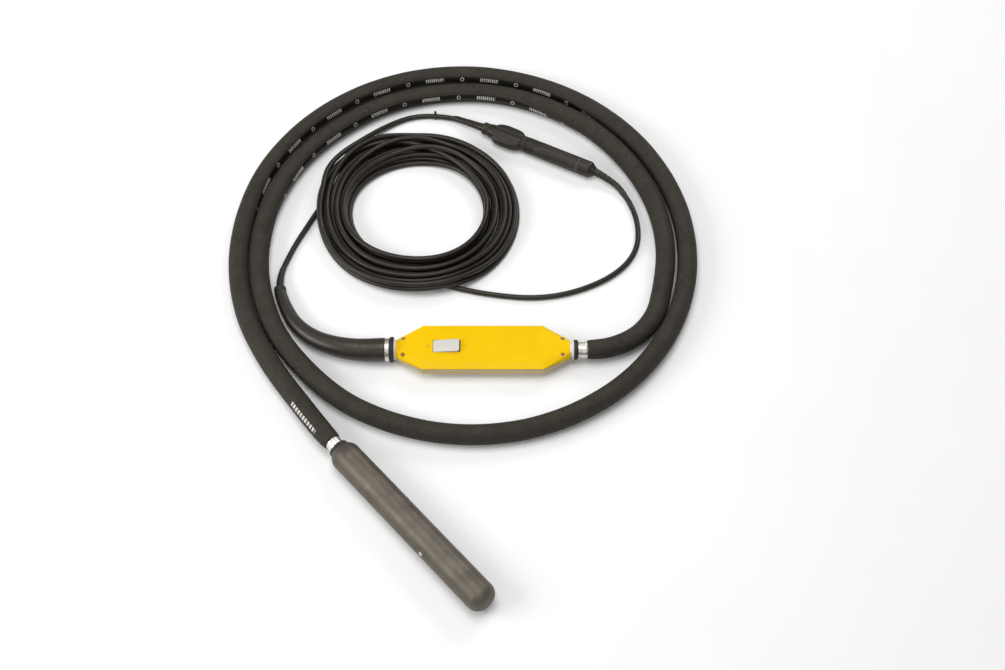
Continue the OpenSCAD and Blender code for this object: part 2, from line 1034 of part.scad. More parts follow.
module unit_body() {
    color("black")
        on_line()
            difference() {
                rotate_extrude()
                    polygon([
                        [0, plug_end], [unit_r - 1.5, plug_end], [unit_r, plug_end + 3],
                        [unit_r, unit_ring_s - 2], [unit_r - 1.5, unit_ring_s],
                        [unit_r - 1.5, unit_ring_s + 8], [unit_r, unit_ring_s + 10],
                        [unit_r, unit_end - 12], [unit_r - 1, unit_end - 9], [11.5, unit_end - 3],
                        [10, unit_end],
                        [0, unit_end]
                    ]);
                for (turn = [0, 120, 240])
                    rotate([0, 0, turn])
                        translate([7, 0, plug_end - over])
                            cylinder(r = contact_r, h = 18 + over, $fn = 24);
            }
}

module unit_ring() {
    color("dimgray")
        on_line()
            ring(unit_r, unit_r - 1.5, unit_ring_s, unit_ring_s + 8);
}

module lead_relief() {
    color("black")
        swept_tube(lead_relief_route, lead_relief_radii, 12);
}

module supply_lead() {
    color("black")
        swept_tube(lead_route, cable_r, 8);
}

module mains_plug() {
    color("black")
        translate(mains_plug_pos)
            rotate([0, 90, mains_plug_yaw]) {
                hull() {
                    cylinder(r = 7, h = 1, $fn = 32);
                    for (s = [-1, 1])
                        translate([0, s * (mains_plug_w / 2 - 7), 14])
                            cylinder(r = 7, h = 1, $fn = 32);
                    translate([0, 0, mains_plug_l - 10])
                        linear_extrude(height = 10)
                            square([mains_plug_h - 1, mains_plug_w], center = true);
                }
                for (s = [-1, 1])
                    translate([-2, s * 6.4, mains_plug_l + 8])
                        cube([6.4, 1.6, 17], center = true);
                translate([5, 0, mains_plug_l - over])
                    cylinder(r = 2.4, h = 19, $fn = 24);
            }
}

upper_shell();
lower_shell();
shell_gasket();
housing_screws();
switch_frame();
switch_body();
rocker_pin();
switch_rocker();
heat_sink();
power_module();
converter_board();
smoothing_capacitors();
filter_choke();
terminal_blocks();
inlet_nipple();
inlet_washer();
inlet_seal();
inlet_collar();
handle_grip();
handle_end_ring();
cable_relief();
outlet_nipple();
outlet_washer();
outlet_seal();
outlet_ferrule();
protective_hose();
motor_lead();
hose_neck();
neck_ring();
rear_adapter();
adapter_seal();
head_tube();
nose_cap();
nose_seal();
lock_screw();
stator_core();
stator_windings();
bearing_carriers();
ball_bearing_outer();
roller_bearing_outers();
rotor_shaft();
rotor_core();
eccentric_weight();
ball_bearing_inner();
roller_bearing_inners();
bearing_balls();
ball_cage();
bearing_rollers();
power_cable_start();
power_cable_coil();
power_cable_end();
cable_tie();
plug_relief();
plug_body();
plug_contacts();
unit_body();
unit_ring();
lead_relief();
supply_lead();
mains_plug();
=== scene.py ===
"""Looks of an internal concrete vibrator with a built-in converter: poker head on a protective hose,
flat converter housing with a rocker switch, tapered grip, and a coiled power cable with an in-line unit."""

import json
import math

import bmesh
import bpy
import numpy as np
from mathutils import Matrix, Vector


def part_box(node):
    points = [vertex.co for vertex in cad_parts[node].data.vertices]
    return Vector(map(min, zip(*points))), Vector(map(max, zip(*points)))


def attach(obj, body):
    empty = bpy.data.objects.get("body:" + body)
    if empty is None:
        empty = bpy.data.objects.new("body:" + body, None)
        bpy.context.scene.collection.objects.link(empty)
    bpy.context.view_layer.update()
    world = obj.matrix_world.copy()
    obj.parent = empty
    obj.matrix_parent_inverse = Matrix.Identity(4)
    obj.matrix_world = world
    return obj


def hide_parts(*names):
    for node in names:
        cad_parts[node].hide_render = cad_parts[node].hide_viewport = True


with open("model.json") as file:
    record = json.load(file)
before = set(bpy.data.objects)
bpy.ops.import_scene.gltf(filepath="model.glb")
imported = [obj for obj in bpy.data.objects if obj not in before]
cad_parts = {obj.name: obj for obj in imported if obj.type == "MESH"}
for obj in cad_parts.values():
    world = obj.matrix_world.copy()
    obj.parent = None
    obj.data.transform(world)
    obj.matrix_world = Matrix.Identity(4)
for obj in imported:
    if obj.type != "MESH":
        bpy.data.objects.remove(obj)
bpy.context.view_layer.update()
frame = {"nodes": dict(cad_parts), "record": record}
scene = bpy.context.scene
MM = 0.001


def ease(t):
    """0 below 0, 1 above 1, and a smooth rise between."""
    t = np.clip(t, 0, 1)
    return t * t * (3 - 2 * t)


def in_scene(name, data):
    o = bpy.data.objects.new(name, data)
    scene.collection.objects.link(o)
    return o


# ---------------------------------------------------------------- camera

camera_data = bpy.data.cameras.new("camera")
camera_data.sensor_width = 36.0
camera_data.sensor_fit = "HORIZONTAL"
camera_data.lens = 54.806
camera_data.clip_start = 0.05
camera_data.clip_end = 60
camera = in_scene("camera", camera_data)
camera.location = (0.038, -1.599, 2.541)
camera.rotation_euler = (math.radians(33), 0, 0)  # from straight down
scene.camera = camera
scene.view_settings.view_transform = "Standard"  # keeps the shell's full yellow


# ---------------------------------------------------------------- materials

class Nodes:
    """Short ways to add shader nodes to one material."""

    def __init__(self, name):
        self.material = bpy.data.materials.new(name)
        self.material.use_nodes = True
        self.tree = self.material.node_tree
        self.bsdf = self.tree.nodes["Principled BSDF"]
        self.here = self.add("ShaderNodeTexCoord").outputs["Object"]
        self.along = self.add("ShaderNodeUVMap").outputs["UV"]

    def add(self, kind, **settings):
        n = self.tree.nodes.new(kind)
        for k, v in settings.items():
            setattr(n, k, v)
        return n

    def link(self, a, b):
        self.tree.links.new(a, b)

    def noise(self, scale, detail=4.0, rough=0.55, stretch=None):
        n = self.add("ShaderNodeTexNoise")
        n.inputs["Scale"].default_value = scale
        n.inputs["Detail"].default_value = detail
        n.inputs["Roughness"].default_value = rough
        at = self.here
        if stretch:
            mapping = self.add("ShaderNodeMapping")
            mapping.inputs["Scale"].default_value = stretch
            self.link(at, mapping.inputs["Vector"])
            at = mapping.outputs["Vector"]
        self.link(at, n.inputs["Vector"])
        return n.outputs["Fac"]

    def spread(self, value, low, high, to_low=0.0, to_high=1.0):
        """Takes low to to_low and high to to_high, and goes no further."""
        n = self.add("ShaderNodeMapRange")
        n.inputs["From Min"].default_value = low
        n.inputs["From Max"].default_value = high
        n.inputs["To Min"].default_value = to_low
        n.inputs["To Max"].default_value = to_high
        self.link(value, n.inputs["Value"])
        return n.outputs["Result"]

    def math(self, op, a, b=None):
        n = self.add("ShaderNodeMath", operation=op)
        for i, v in enumerate((a, b)):
            if v is None:
                continue
            if isinstance(v, (int, float)):
                n.inputs[i].default_value = v
            else:
                self.link(v, n.inputs[i])
        return n.outputs["Value"]

    def times(self, first, *others):
        for value in others:
            first = self.math("MULTIPLY", first, value)
        return first

    def below(self, value, limit):
        """1 where value is less than limit, else 0."""
        return self.math("LESS_THAN", value, limit)

    def off(self, value, middle):
        """How far value is from middle."""
        return self.math("ABSOLUTE", self.math("SUBTRACT", value, middle))

    def cycle(self, value, pitch):
        """Goes from 0 to 1 over every pitch of value."""
        return self.math("FRACT", self.math("MULTIPLY", value, 1 / pitch))

    def mix(self, fac, a, b):
        n = self.add("ShaderNodeMix", data_type="RGBA")
        self.link(fac, n.inputs["Factor"])
        for v, socket in ((a, n.inputs["A"]), (b, n.inputs["B"])):
            if isinstance(v, tuple):
                socket.default_value = (*v, 1)
            else:
                self.link(v, socket)
        return n.outputs["Result"]

    def colour(self, value):
        self.link(value, self.bsdf.inputs["Base Color"])

    def rough(self, value):
        self.link(value, self.bsdf.inputs["Roughness"])

    def bump(self, height, strength, distance):
        n = self.add("ShaderNodeBump")
        n.inputs["Strength"].default_value = strength
        n.inputs["Distance"].default_value = distance
        self.link(height, n.inputs["Height"])
        previous = self.bsdf.inputs["Normal"].links
        if previous:
            self.link(previous[0].from_socket, n.inputs["Normal"])
        self.link(n.outputs["Normal"], self.bsdf.inputs["Normal"])

    def wear(self, low, high):
        """1 on raised edges, 0 on flat faces, broken up by noise."""
        geometry = self.add("ShaderNodeNewGeometry")
        edge = self.spread(geometry.outputs["Pointiness"], low, high)
        return self.times(edge, self.spread(self.noise(160), 0.42, 0.62))

    def edge_wear_and_highlight(self, amount):
        """The rounded edges that softened() marks, broken up by noise: edge wear, and on the yellow shell
        also a painted highlight along its creases.
        """
        mark = self.add("ShaderNodeAttribute", attribute_name="worn")
        broken = self.spread(self.noise(110, 6), 0.40, 0.60, 0.15 * amount, amount)
        return self.times(mark.outputs["Fac"], broken)

    def dust(self, amount):
        """Light dust on what faces up."""
        geometry = self.add("ShaderNodeNewGeometry")
        split = self.add("ShaderNodeSeparateXYZ")
        self.link(geometry.outputs["Normal"], split.inputs[0])
        up = self.spread(split.outputs["Z"], 0.2, 1.0)
        return self.times(up, self.spread(self.noise(38, 6), 0.35, 0.75, 0, amount))


MATERIALS = {}
WARM = (1.0, 0.92, 0.80)  # tint of the sheen on dark rubber and plastic


def finish(name, dark, light, rough=(0.4, 0.55), metallic=0.0, mottle=45, grain=900, grain_depth=0.00004,
           grain_strength=0.25, specular=0.5, tint=(1, 1, 1)):
    """A base finish: mottled colour, uneven roughness and a fine grain. Returns its Nodes for more."""
    n = Nodes(name)
    n.bsdf.inputs["Metallic"].default_value = metallic
    n.bsdf.inputs["Specular IOR Level"].default_value = specular
    n.bsdf.inputs["Specular Tint"].default_value = (*tint, 1)
    patches = n.noise(mottle, 5)
    n.base = n.mix(n.spread(patches, 0.3, 0.7), dark, light)
    n.colour(n.base)
    n.rough(n.spread(n.noise(mottle * 2.3, 6), 0.3, 0.7, rough[0], rough[1]))
    n.bump(n.noise(grain, 3), grain_strength, grain_depth)
    MATERIALS[name] = n.material
    return n


def shell_coats():
    """Powder coat: faint orange peel, a little darker in patches and paler on rounded edges. The paler edges
    are worn paint, and on the yellow shell also a painted highlight along the creases of its top.
    """
    n = finish("yellow_shell", (0.81, 0.500, 0.0004), (0.88, 0.558, 0.0008), (0.32, 0.44), mottle=14,
               grain=520, grain_depth=0.00006, grain_strength=0.16, specular=0.08)
    # paler rounded edges: worn paint, and a painted highlight along the rounded shallow creases of the top
    n.colour(n.mix(n.edge_wear_and_highlight(0.7), n.base, (0.98, 0.66, 0.03)))
    n = finish("grey_shell", (0.47, 0.385, 0.185), (0.56, 0.46, 0.235), (0.42, 0.58), mottle=20, grain=600,
               grain_depth=0.00008)
    dusty = n.mix(n.dust(0.3), n.base, (0.58, 0.50, 0.31))
    n.colour(n.mix(n.edge_wear_and_highlight(0.5), dusty, (0.68, 0.61, 0.42)))


def head_steel():
    """Blasted and oiled steel with long handling scuffs."""
    n = finish("head_steel", (0.096, 0.083, 0.065), (0.142, 0.125, 0.100), (0.46, 0.56), metallic=0.68,
               mottle=26, grain=1400, grain_depth=0.00005, grain_strength=0.35)
    scuffs = n.spread(n.noise(60, 8, 0.7, stretch=(6.2, 5.6, 1.0)), 0.60, 0.72)
    n.colour(n.mix(n.times(scuffs, 0.22), n.base, (0.205, 0.185, 0.155)))
    n.bump(n.noise(34, 4), 0.05, 0.0004)


def bare_metals():
    """Turned and plated metals with fine tool marks. The screws' yellow-brown is painted shade of their
    recesses with a painted reflection of the yellow shell.
    """
    for name, dark, light, rough in (
        ("bright_steel", (0.68, 0.645, 0.57), (0.82, 0.785, 0.71), (0.30, 0.44)),
        # yellow-brown: painted shade of the screw recesses and a painted reflection of the yellow shell
        ("screw_steel", (0.30, 0.185, 0.060), (0.50, 0.35, 0.150), (0.34, 0.50)),
        ("bare_aluminium", (0.60, 0.61, 0.63), (0.76, 0.77, 0.79), (0.32, 0.48)),
        ("brass_cage", (0.62, 0.43, 0.16), (0.82, 0.62, 0.28), (0.26, 0.42)),
    ):
        n = finish(name, dark, light, rough, metallic=1.0, mottle=120, grain=2200, grain_depth=0.00002)
        n.bump(n.noise(420, 5, 0.7, stretch=(0.12, 1, 1)), 0.10, 0.00002)


def core_and_windings():
    """Stacked sheets and enamelled wire."""
    n = finish("core_steel", (0.20, 0.205, 0.215), (0.33, 0.335, 0.345), (0.42, 0.6), metallic=0.9, mottle=90,
               grain=1600)
    n.bump(n.noise(1500, 2, 0.4, stretch=(1, 1, 0.05)), 0.3, 0.00006)
    n = finish("copper", (0.50, 0.20, 0.075), (0.78, 0.40, 0.20), (0.26, 0.42), metallic=0.9, mottle=300)
    n.bump(n.noise(700, 2, 0.3, stretch=(0.15, 0.15, 1)), 0.5, 0.0002)


# marks on the protective hose, in metres along it and around it
HOSE_GIRTH = 0.1257
CLOTH_PITCH, CLOTH_SLANT = 0.0016, 0.125
WRAP_PITCH = 0.055
LINE_HALF, LINE_EDGE = 0.0060, 0.0066
PRINT_PITCH, FIRST_RING = 0.1248, 4.8744   # each pitch has one ring and one row of bars
ROW_SHARE = 0.336                          # of the pitch
BAR_PITCH, BAR_SHARE, BAR_HALF = 0.0046, 0.62, 0.0041
RING_R, RING_HALF = 0.0038, 0.0008
BLOCK_MIDDLE, BLOCK_HALF, BLOCK_PITCH, BLOCK_SHARE = 4.9215, 0.041, 0.0082, 0.66
BLOCK_SIDE, BLOCK_HEIGHT_HALF = 0.005, 0.036   # in turns around the hose


def hose_cloth(n, length, around):
    """The print that the crossed threads of the wrapping cloth leave."""
    slant = n.math("MULTIPLY", around, CLOTH_SLANT)
    warp, weft = (n.math("SINE", n.math("MULTIPLY", n.math(way, length, slant), 2 * math.pi / CLOTH_PITCH))
                  for way in ("ADD", "SUBTRACT"))
    return n.times(warp, weft)


def hose_marks(n, length, across):
    """The bars and rings along the printed line, with worn ink."""
    cycle = n.cycle(n.math("SUBTRACT", length, FIRST_RING), PRINT_PITCH)
    in_row = n.below(n.off(cycle, 0.5), ROW_SHARE / 2)
    in_bar = n.below(n.cycle(length, BAR_PITCH), BAR_SHARE)
    bars = n.times(in_row, in_bar, n.below(n.math("ABSOLUTE", across), BAR_HALF))
    nearest = n.math("SUBTRACT", n.math("FRACT", n.math("ADD", cycle, 0.5)), 0.5)
    from_ring = n.math("MULTIPLY", nearest, PRINT_PITCH)
    reach = n.math("SQRT", n.math("ADD", n.times(from_ring, from_ring), n.times(across, across)))
    ring = n.below(n.off(reach, RING_R), RING_HALF)
    return n.times(n.math("MAXIMUM", bars, ring), n.spread(n.noise(520, 4), 0.36, 0.60, 0.15, 1.0))


def hose_block(n, length, around):
    """A block of taller bars on the outside near the head, with worn ink."""
    in_block = n.below(n.off(length, BLOCK_MIDDLE), BLOCK_HALF)
    in_bar = n.below(n.cycle(length, BLOCK_PITCH), BLOCK_SHARE)
    from_side = n.off(n.math("FRACT", n.math("ADD", around, 0.5 - BLOCK_SIDE)), 0.5)
    in_height = n.below(from_side, BLOCK_HEIGHT_HALF)
    return n.times(in_block, in_bar, in_height, n.spread(n.noise(420, 4), 0.36, 0.52, 0.2, 1.0))


def hose_rubber():
    """Wrapped hose: cloth print, wrap seams, and a smooth printed line with bars and rings."""
    n = finish("hose_rubber", (0.0158, 0.0136, 0.0107), (0.0270, 0.0236, 0.0189), (0.62, 0.78), mottle=60,
               grain=1500, grain_depth=0.0001, grain_strength=0.5, specular=0.27, tint=WARM)
    split = n.add("ShaderNodeSeparateXYZ")
    n.link(n.along, split.inputs[0])
    length, around = split.outputs["X"], split.outputs["Y"]
    across = n.math("MULTIPLY", n.math("SUBTRACT", around, 0.5), HOSE_GIRTH)
    line = n.spread(n.math("ABSOLUTE", across), LINE_HALF, LINE_EDGE, 1, 0)
    wrap = n.math("FRACT", n.math("ADD", n.math("MULTIPLY", length, 1 / WRAP_PITCH), around))
    seam = n.spread(n.off(wrap, 0.5), 0.0, 0.035)
    speckle = n.spread(n.noise(330, 3, 0.6), 0.38, 0.66)

    body = n.mix(speckle, n.base, (0.0372, 0.0330, 0.0268))
    body = n.mix(n.dust(0.20), body, (0.085, 0.078, 0.066))
    body = n.mix(line, body, (0.0080, 0.0078, 0.0075))
    body = n.mix(hose_marks(n, length, across), body, (0.66, 0.64, 0.59))
    n.colour(n.mix(hose_block(n, length, around), body, (0.72, 0.70, 0.66)))
    dull = n.mix(n.spread(n.noise(160, 6), 0.3, 0.7), (0.62,) * 3, (0.78,) * 3)
    n.rough(n.mix(line, dull, (0.34,) * 3))
    n.bump(n.times(hose_cloth(n, length, around), n.math("SUBTRACT", 1.0, line)), 0.35, 0.00012)
    n.bump(n.math("ADD", seam, n.math("MULTIPLY", speckle, 0.5)), 0.22, 0.0002)


def moulded_rubbers():
    """Grip, cable sheaths, seals and connectors."""
    n = finish("grip_rubber", (0.0185, 0.0162, 0.0132), (0.0290, 0.0256, 0.0210), (0.33, 0.44), mottle=30,
               grain=1300, tint=WARM)
    n.colour(n.mix(n.dust(0.14), n.base, (0.070, 0.062, 0.052)))
    n.bump(n.noise(46, 3), 0.10, 0.0006)
    n = finish("cable_rubber", (0.0090, 0.0077, 0.0061), (0.0155, 0.0134, 0.0108), (0.33, 0.46), mottle=60,
               grain=1500, specular=0.44, tint=WARM)
    n.colour(n.mix(n.dust(0.10), n.base, (0.060, 0.053, 0.044)))
    n.bump(n.noise(120, 3), 0.12, 0.0003)
    finish("black_rubber", (0.012, 0.012, 0.012), (0.024, 0.023, 0.022), (0.5, 0.68), mottle=80, grain=1500)
    n = finish("connector_black", (0.0108, 0.0092, 0.0072), (0.0190, 0.0164, 0.0130), (0.38, 0.54), mottle=42,
               grain=1900, grain_depth=0.00005, grain_strength=0.4, specular=0.42, tint=WARM)
    n.colour(n.mix(n.wear(0.52, 0.58), n.base, (0.095, 0.086, 0.073)))


def plastics():
    """Rocker, washers, inner parts and printed marks."""
    finish("dark_plastic", (0.024, 0.021, 0.018), (0.041, 0.037, 0.032), (0.4, 0.55), mottle=60, grain=1800,
           grain_depth=0.00005, tint=WARM)
    finish("light_plastic", (0.575, 0.567, 0.51), (0.645, 0.637, 0.575), (0.26, 0.36), mottle=24, grain=1500,
           grain_depth=0.00002)
    finish("cream_plastic", (0.66, 0.63, 0.55), (0.78, 0.755, 0.68), (0.38, 0.52), mottle=50, grain=1500)
    n = finish("board_green", (0.012, 0.095, 0.040), (0.020, 0.145, 0.062), (0.3, 0.45), mottle=140)
    n.bump(n.noise(260, 1, 0.2), 0.4, 0.0002)
    finish("capacitor_sleeve", (0.018, 0.028, 0.085), (0.030, 0.045, 0.13), (0.22, 0.34), mottle=90,
           grain=1400)
    finish("mark_ink", (0.30, 0.17, 0.008), (0.38, 0.22, 0.012), (0.5, 0.62), mottle=200, grain=1500)


shell_coats()
head_steel()
bare_metals()
core_and_windings()
hose_rubber()
moulded_rubbers()
plastics()


# ---------------------------------------------------------------- mesh helpers

SHARP = 38.0  # edges that fold by more degrees than this stay sharp


def shade(mesh, sharp=SHARP):
    mesh.shade_smooth()
    mesh.set_sharp_from_angle(angle=math.radians(sharp))


def to_object(name, verts, faces, slot, uvs=None, sharp=SHARP):
    mesh = bpy.data.meshes.new(name)
    mesh.from_pydata([tuple(v) for v in verts], [], faces)
    mesh.validate()
    if uvs is not None:
        layer = mesh.uv_layers.new(name="UVMap")
        layer.data.foreach_set("uv", np.asarray(uvs, np.float32).ravel())
    shade(mesh, sharp)
    mesh.update()
    o = in_scene(name, mesh)
    mesh.materials.append(MATERIALS[slot])
    return o


def rebuilt(mesh, make):
    """Changes a mesh by make(bm), and sets its faces to look outwards."""
    bm = bmesh.new()
    bm.from_mesh(mesh)
    make(bm)
    bmesh.ops.recalc_face_normals(bm, faces=bm.faces)
    bm.to_mesh(mesh)
    bm.free()


def smooth_path(points, before=None, after=None, per=12):
    """A centripetal Catmull-Rom line through the points. before and after steer its ends."""
    p = np.array(points, float)
    first = np.array(before, float) if before is not None else 2 * p[0] - p[1]
    last = np.array(after, float) if after is not None else 2 * p[-1] - p[-2]
    q = np.vstack([first, p, last])
    out = []
    for i in range(1, len(q) - 2):
        p0, p1, p2, p3 = q[i - 1:i + 3]
        t0 = 0.0
        t1 = t0 + np.linalg.norm(p1 - p0) ** 0.5
        t2 = t1 + np.linalg.norm(p2 - p1) ** 0.5
        t3 = t2 + np.linalg.norm(p3 - p2) ** 0.5
        for t in np.linspace(t1, t2, per, endpoint=False):
            a1 = (t1 - t) / (t1 - t0) * p0 + (t - t0) / (t1 - t0) * p1
            a2 = (t2 - t) / (t2 - t1) * p1 + (t - t1) / (t2 - t1) * p2
            a3 = (t3 - t) / (t3 - t2) * p2 + (t - t2) / (t3 - t2) * p3
            b1 = (t2 - t) / (t2 - t0) * a1 + (t - t0) / (t2 - t0) * a2
            b2 = (t3 - t) / (t3 - t1) * a2 + (t - t1) / (t3 - t1) * a3
            out.append((t2 - t) / (t2 - t1) * b1 + (t - t1) / (t2 - t1) * b2)
    out.append(p[-1])
    return np.array(out)


def distances(line):
    """How far along the line each of its points is."""
    return np.r_[0, np.cumsum(np.linalg.norm(np.diff(line, axis=0), axis=1))]


def even(line, step):
    """The same line in even steps."""
    along = distances(line)
    s = np.linspace(0, along[-1], max(2, int(along[-1] / step)))
    return np.stack([np.interp(s, along, line[:, k]) for k in range(3)], 1)


def line_length(line):
    """The line's whole length in millimetres."""
    return float(np.linalg.norm(np.diff(line, axis=0), axis=1).sum())


def blur(v, sigma):
    """The values evened out over their neighbours. The first and the last keep their places."""
    k = np.arange(-int(3 * sigma), int(3 * sigma) + 1)
    w = np.exp(-0.5 * (k / sigma) ** 2)
    pad = len(k) // 2
    padded = np.r_[2 * v[0] - v[pad:0:-1], v, 2 * v[-1] - v[-2:-pad - 2:-1]]
    return np.convolve(padded, w / w.sum(), "valid")


def band(i, i2, sides):
    """The faces between two rings of points."""
    return [(i * sides + j, i * sides + (j + 1) % sides, i2 * sides + (j + 1) % sides, i2 * sides + j)
            for j in range(sides)]


def tube(name, line, radius, sides, slot, turn=None, shape=None):
    """A tube on a line in millimetres. Its UVs are metres along and turns around, less turn at each point.
    shape(s, angle) gives a share of the radius there."""
    line = np.asarray(line, float)
    n = len(line)
    tangent = np.gradient(line, axis=0)
    tangent /= np.linalg.norm(tangent, axis=1)[:, None]
    side = np.cross(tangent, [0, 0, 1.0])
    side /= np.linalg.norm(side, axis=1)[:, None]
    up = np.cross(side, tangent)
    s = distances(line)
    r = np.broadcast_to(np.asarray(radius, float), (n,))
    angle = 2 * math.pi * np.arange(sides) / sides
    grow = np.ones((n, sides)) if shape is None else shape(s[:, None], angle[None, :])
    ring = side[:, None, :] * np.cos(angle)[None, :, None] + up[:, None, :] * np.sin(angle)[None, :, None]
    verts = (line[:, None, :] + ring * (r[:, None] * grow)[:, :, None]).reshape(-1, 3) * MM
    turn = np.zeros(n) if turn is None else turn
    faces, uvs = [], []
    for i in range(n - 1):
        faces += band(i, i + 1, sides)
        for j in range(sides):
            low = (j / sides - turn[i]) % 1.0
            high = low + 1 / sides
            far_low = low + (turn[i] - turn[i + 1])
            far_high = far_low + 1 / sides
            uvs += [(s[i] * MM, low), (s[i] * MM, high), (s[i + 1] * MM, far_high), (s[i + 1] * MM, far_low)]
    faces.append(tuple(range(sides - 1, -1, -1)))
    faces.append(tuple((n - 1) * sides + j for j in range(sides)))
    uvs += [(0, 0)] * (2 * sides)
    return to_object(name, verts, faces, slot, uvs)


def fillet(profile, steps=4):
    """Rounds the corners of a closed outline. Each corner is (r, z) or (r, z, fillet radius)."""
    out = []
    n = len(profile)
    for i, corner in enumerate(profile):
        p = np.array(corner[:2], float)
        radius = corner[2] if len(corner) > 2 else 0
        if not radius:
            out.append(p)
            continue
        a = np.array(profile[i - 1][:2], float) - p
        b = np.array(profile[(i + 1) % n][:2], float) - p
        la, lb = np.linalg.norm(a), np.linalg.norm(b)
        a, b = a / la, b / lb
        half = math.acos(max(-1, min(1, float(a @ b)))) / 2
        cut = min(radius / math.tan(half), 0.48 * la, 0.48 * lb)
        for t in np.linspace(0, 1, steps + 1):
            out.append((1 - t) ** 2 * (p + a * cut) + 2 * t * (1 - t) * p + t ** 2 * (p + b * cut))
    return np.array(out)


def axis_matrix(position, direction):
    """Turns Z into direction, with X as level as it can be."""
    z = Vector(direction).normalized()
    x = Vector((0, 0, 1)).cross(z)
    x = x.normalized() if x.length > 1e-6 else Vector((1, 0, 0))
    y = z.cross(x)
    m = Matrix((x, y, z)).transposed().to_4x4()
    m.translation = Vector(position)
    return m


def around_axis(matrix, r, angle, z):
    """Points in metres about the matrix's Z axis, from radii and heights in millimetres, ring by ring."""
    local = np.stack([r * np.cos(angle), r * np.sin(angle), np.broadcast_to(z, r.shape)], 2)
    m = np.array(matrix)
    return (local.reshape(-1, 3) @ m[:3, :3].T + m[:3, 3]) * MM


def lathe(name, profile, matrix, slot, segments=96, shape=None):
    """Revolves a closed outline in millimetres about the matrix's Z axis.
    shape(r, angle, z) changes the radius."""
    outline = fillet(profile)
    n = len(outline)
    angle = 2 * math.pi * np.arange(segments) / segments
    r, z = outline[:, 0][:, None], outline[:, 1][:, None]
    rings = np.broadcast_to(r, (n, segments)) if shape is None else shape(r, angle[None, :], z)
    faces = []
    for i in range(n):
        i2 = (i + 1) % n
        if outline[i][0] > 1e-6 or outline[i2][0] > 1e-6:
            faces += band(i, i2, segments)
    o = to_object(name, around_axis(matrix, rings, angle, z), faces, slot)
    rebuilt(o.data, lambda bm: bmesh.ops.remove_doubles(bm, verts=bm.verts, dist=1e-7))
    shade(o.data)
    return o


def place(o, *nodes, body="tool"):
    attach(o, body)
    if nodes:
        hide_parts(*nodes)
    return o


def revolved(node, made, profile, matrix, slot, **more):
    """A revolved piece in the place of a CAD node. How it is made ends its name."""
    return place(lathe(f"{node}_{made}", profile, matrix, slot, **more), node)


def softened(node, width, slot, angle=24, segments=3, body="tool"):
    """A piece with the shape of a CAD node and rounded edges, in the node's place.
    Edges that fold by more degrees than angle are rounded, and the layer "worn" marks the new faces: edge
    wear, and a painted crease highlight on the yellow shell."""
    mesh = frame["nodes"][node].data.copy()
    mesh.name = f"{node}_soft"
    mesh.materials.clear()

    def round_edges(bm):
        bmesh.ops.remove_doubles(bm, verts=bm.verts, dist=2e-6)
        bmesh.ops.dissolve_limit(bm, angle_limit=math.radians(0.6), verts=bm.verts, edges=bm.edges)
        worn = bm.faces.layers.float.new("worn")
        edges = [e for e in bm.edges if len(e.link_faces) == 2 and e.calc_face_angle(0) > math.radians(angle)]
        rounded = bmesh.ops.bevel(bm, geom=edges, offset=width * MM, segments=segments, profile=0.6,
                                  affect="EDGES", clamp_overlap=True)
        for face in rounded["faces"]:
            face[worn] = 1.0

    rebuilt(mesh, round_edges)
    shade(mesh, 30)
    o = in_scene(mesh.name, mesh)
    mesh.materials.append(MATERIALS[slot])
    weighted = o.modifiers.new("even_normals", "WEIGHTED_NORMAL")
    weighted.keep_sharp = True
    return place(o, node, body=body)


# ---------------------------------------------------------------- routes, as in the CAD model, in millimetres

AXIS_H = 26.0
HEAD_POS, HEAD_YAW = np.array([-265.0, -224.0, 29.0]), math.radians(-48)
HEAD_DIR = np.array([math.cos(HEAD_YAW), math.sin(HEAD_YAW), 0.0])
LINE_POS, LINE_YAW = np.array([-2.0, 572.0, 17.5]), math.radians(-27.2)
LINE_DIR = np.array([math.cos(LINE_YAW), math.sin(LINE_YAW), 0.0])
HOSE_R, CABLE_R = 20.0, 5.5
MAINS_YAW, MAINS_L, PINS_L = math.radians(172), 44, 18

hose_route = [
    [204, 0, 26], [242.8, 5.1, 25], [279, 20.1, 22.8], [310.1, 43.9, 20.7], [333.9, 75, 20],
    [349, 111, 20], [370, 245, 20], [355, 360, 20], [310, 465, 20], [237, 558, 20], [140, 625, 20],
    [30, 664, 20], [-90, 668, 20], [-205, 639, 20], [-305, 576, 20], [-384, 490, 20],
    [-435, 385, 20], [-456, 275, 20], [-448, 160, 20], [-410, 51, 20], [-343, -42, 20],
    [-255, -119, 20], [-148, -167, 20], [-30, -186, 20], [90, -172, 20], [204, -124, 20],
    [302, -45, 20], [372, 59, 20], [409, 180, 20], [410, 309, 20], [376, 433, 20], [311, 544, 20],
    [217, 634, 20], [100, 695, 20], [-30, 721, 20], [-160, 708, 20], [-283, 656, 20],
    [-384, 570, 20], [-455, 461, 20], [-491, 340, 20], [-497, 214, 20], [-471, 89, 20],
    [-415, -23, 20], [-340, -130, 23], [-312, -168, 26.9], [-295, -190, 28.5],
    list(HEAD_POS - 23 * HEAD_DIR),
]
grip_route = [
    [-190.5, 0, 26], [-197, 0, 26], [-226, 1, 23.2], [-262, 5, 21.8], [-300, 16, 19.8], [-332, 32, 17.8],
    [-359, 54, 16.2], [-377.5, 77, 14.8], [-391, 102, 13.8], [-400.5, 124, 12.8], [-408, 146, 12],
]
grip_radii = [23, 23, 22.5, 21.5, 19.5, 17.5, 16, 14.6, 13.5, 12.6, 11.8]
relief_route = [[-409.4, 157.9, 12], [-410.5, 172, 11], [-410, 188, 9.5], [-408, 203, 8]]
start_route = [
    [-408, 203, 8], [-402, 226, 6.5], [-392, 255, 5.5], [-380, 285, 5.5], [-366, 315, 5.5],
    [-353, 342, 5.5],
]
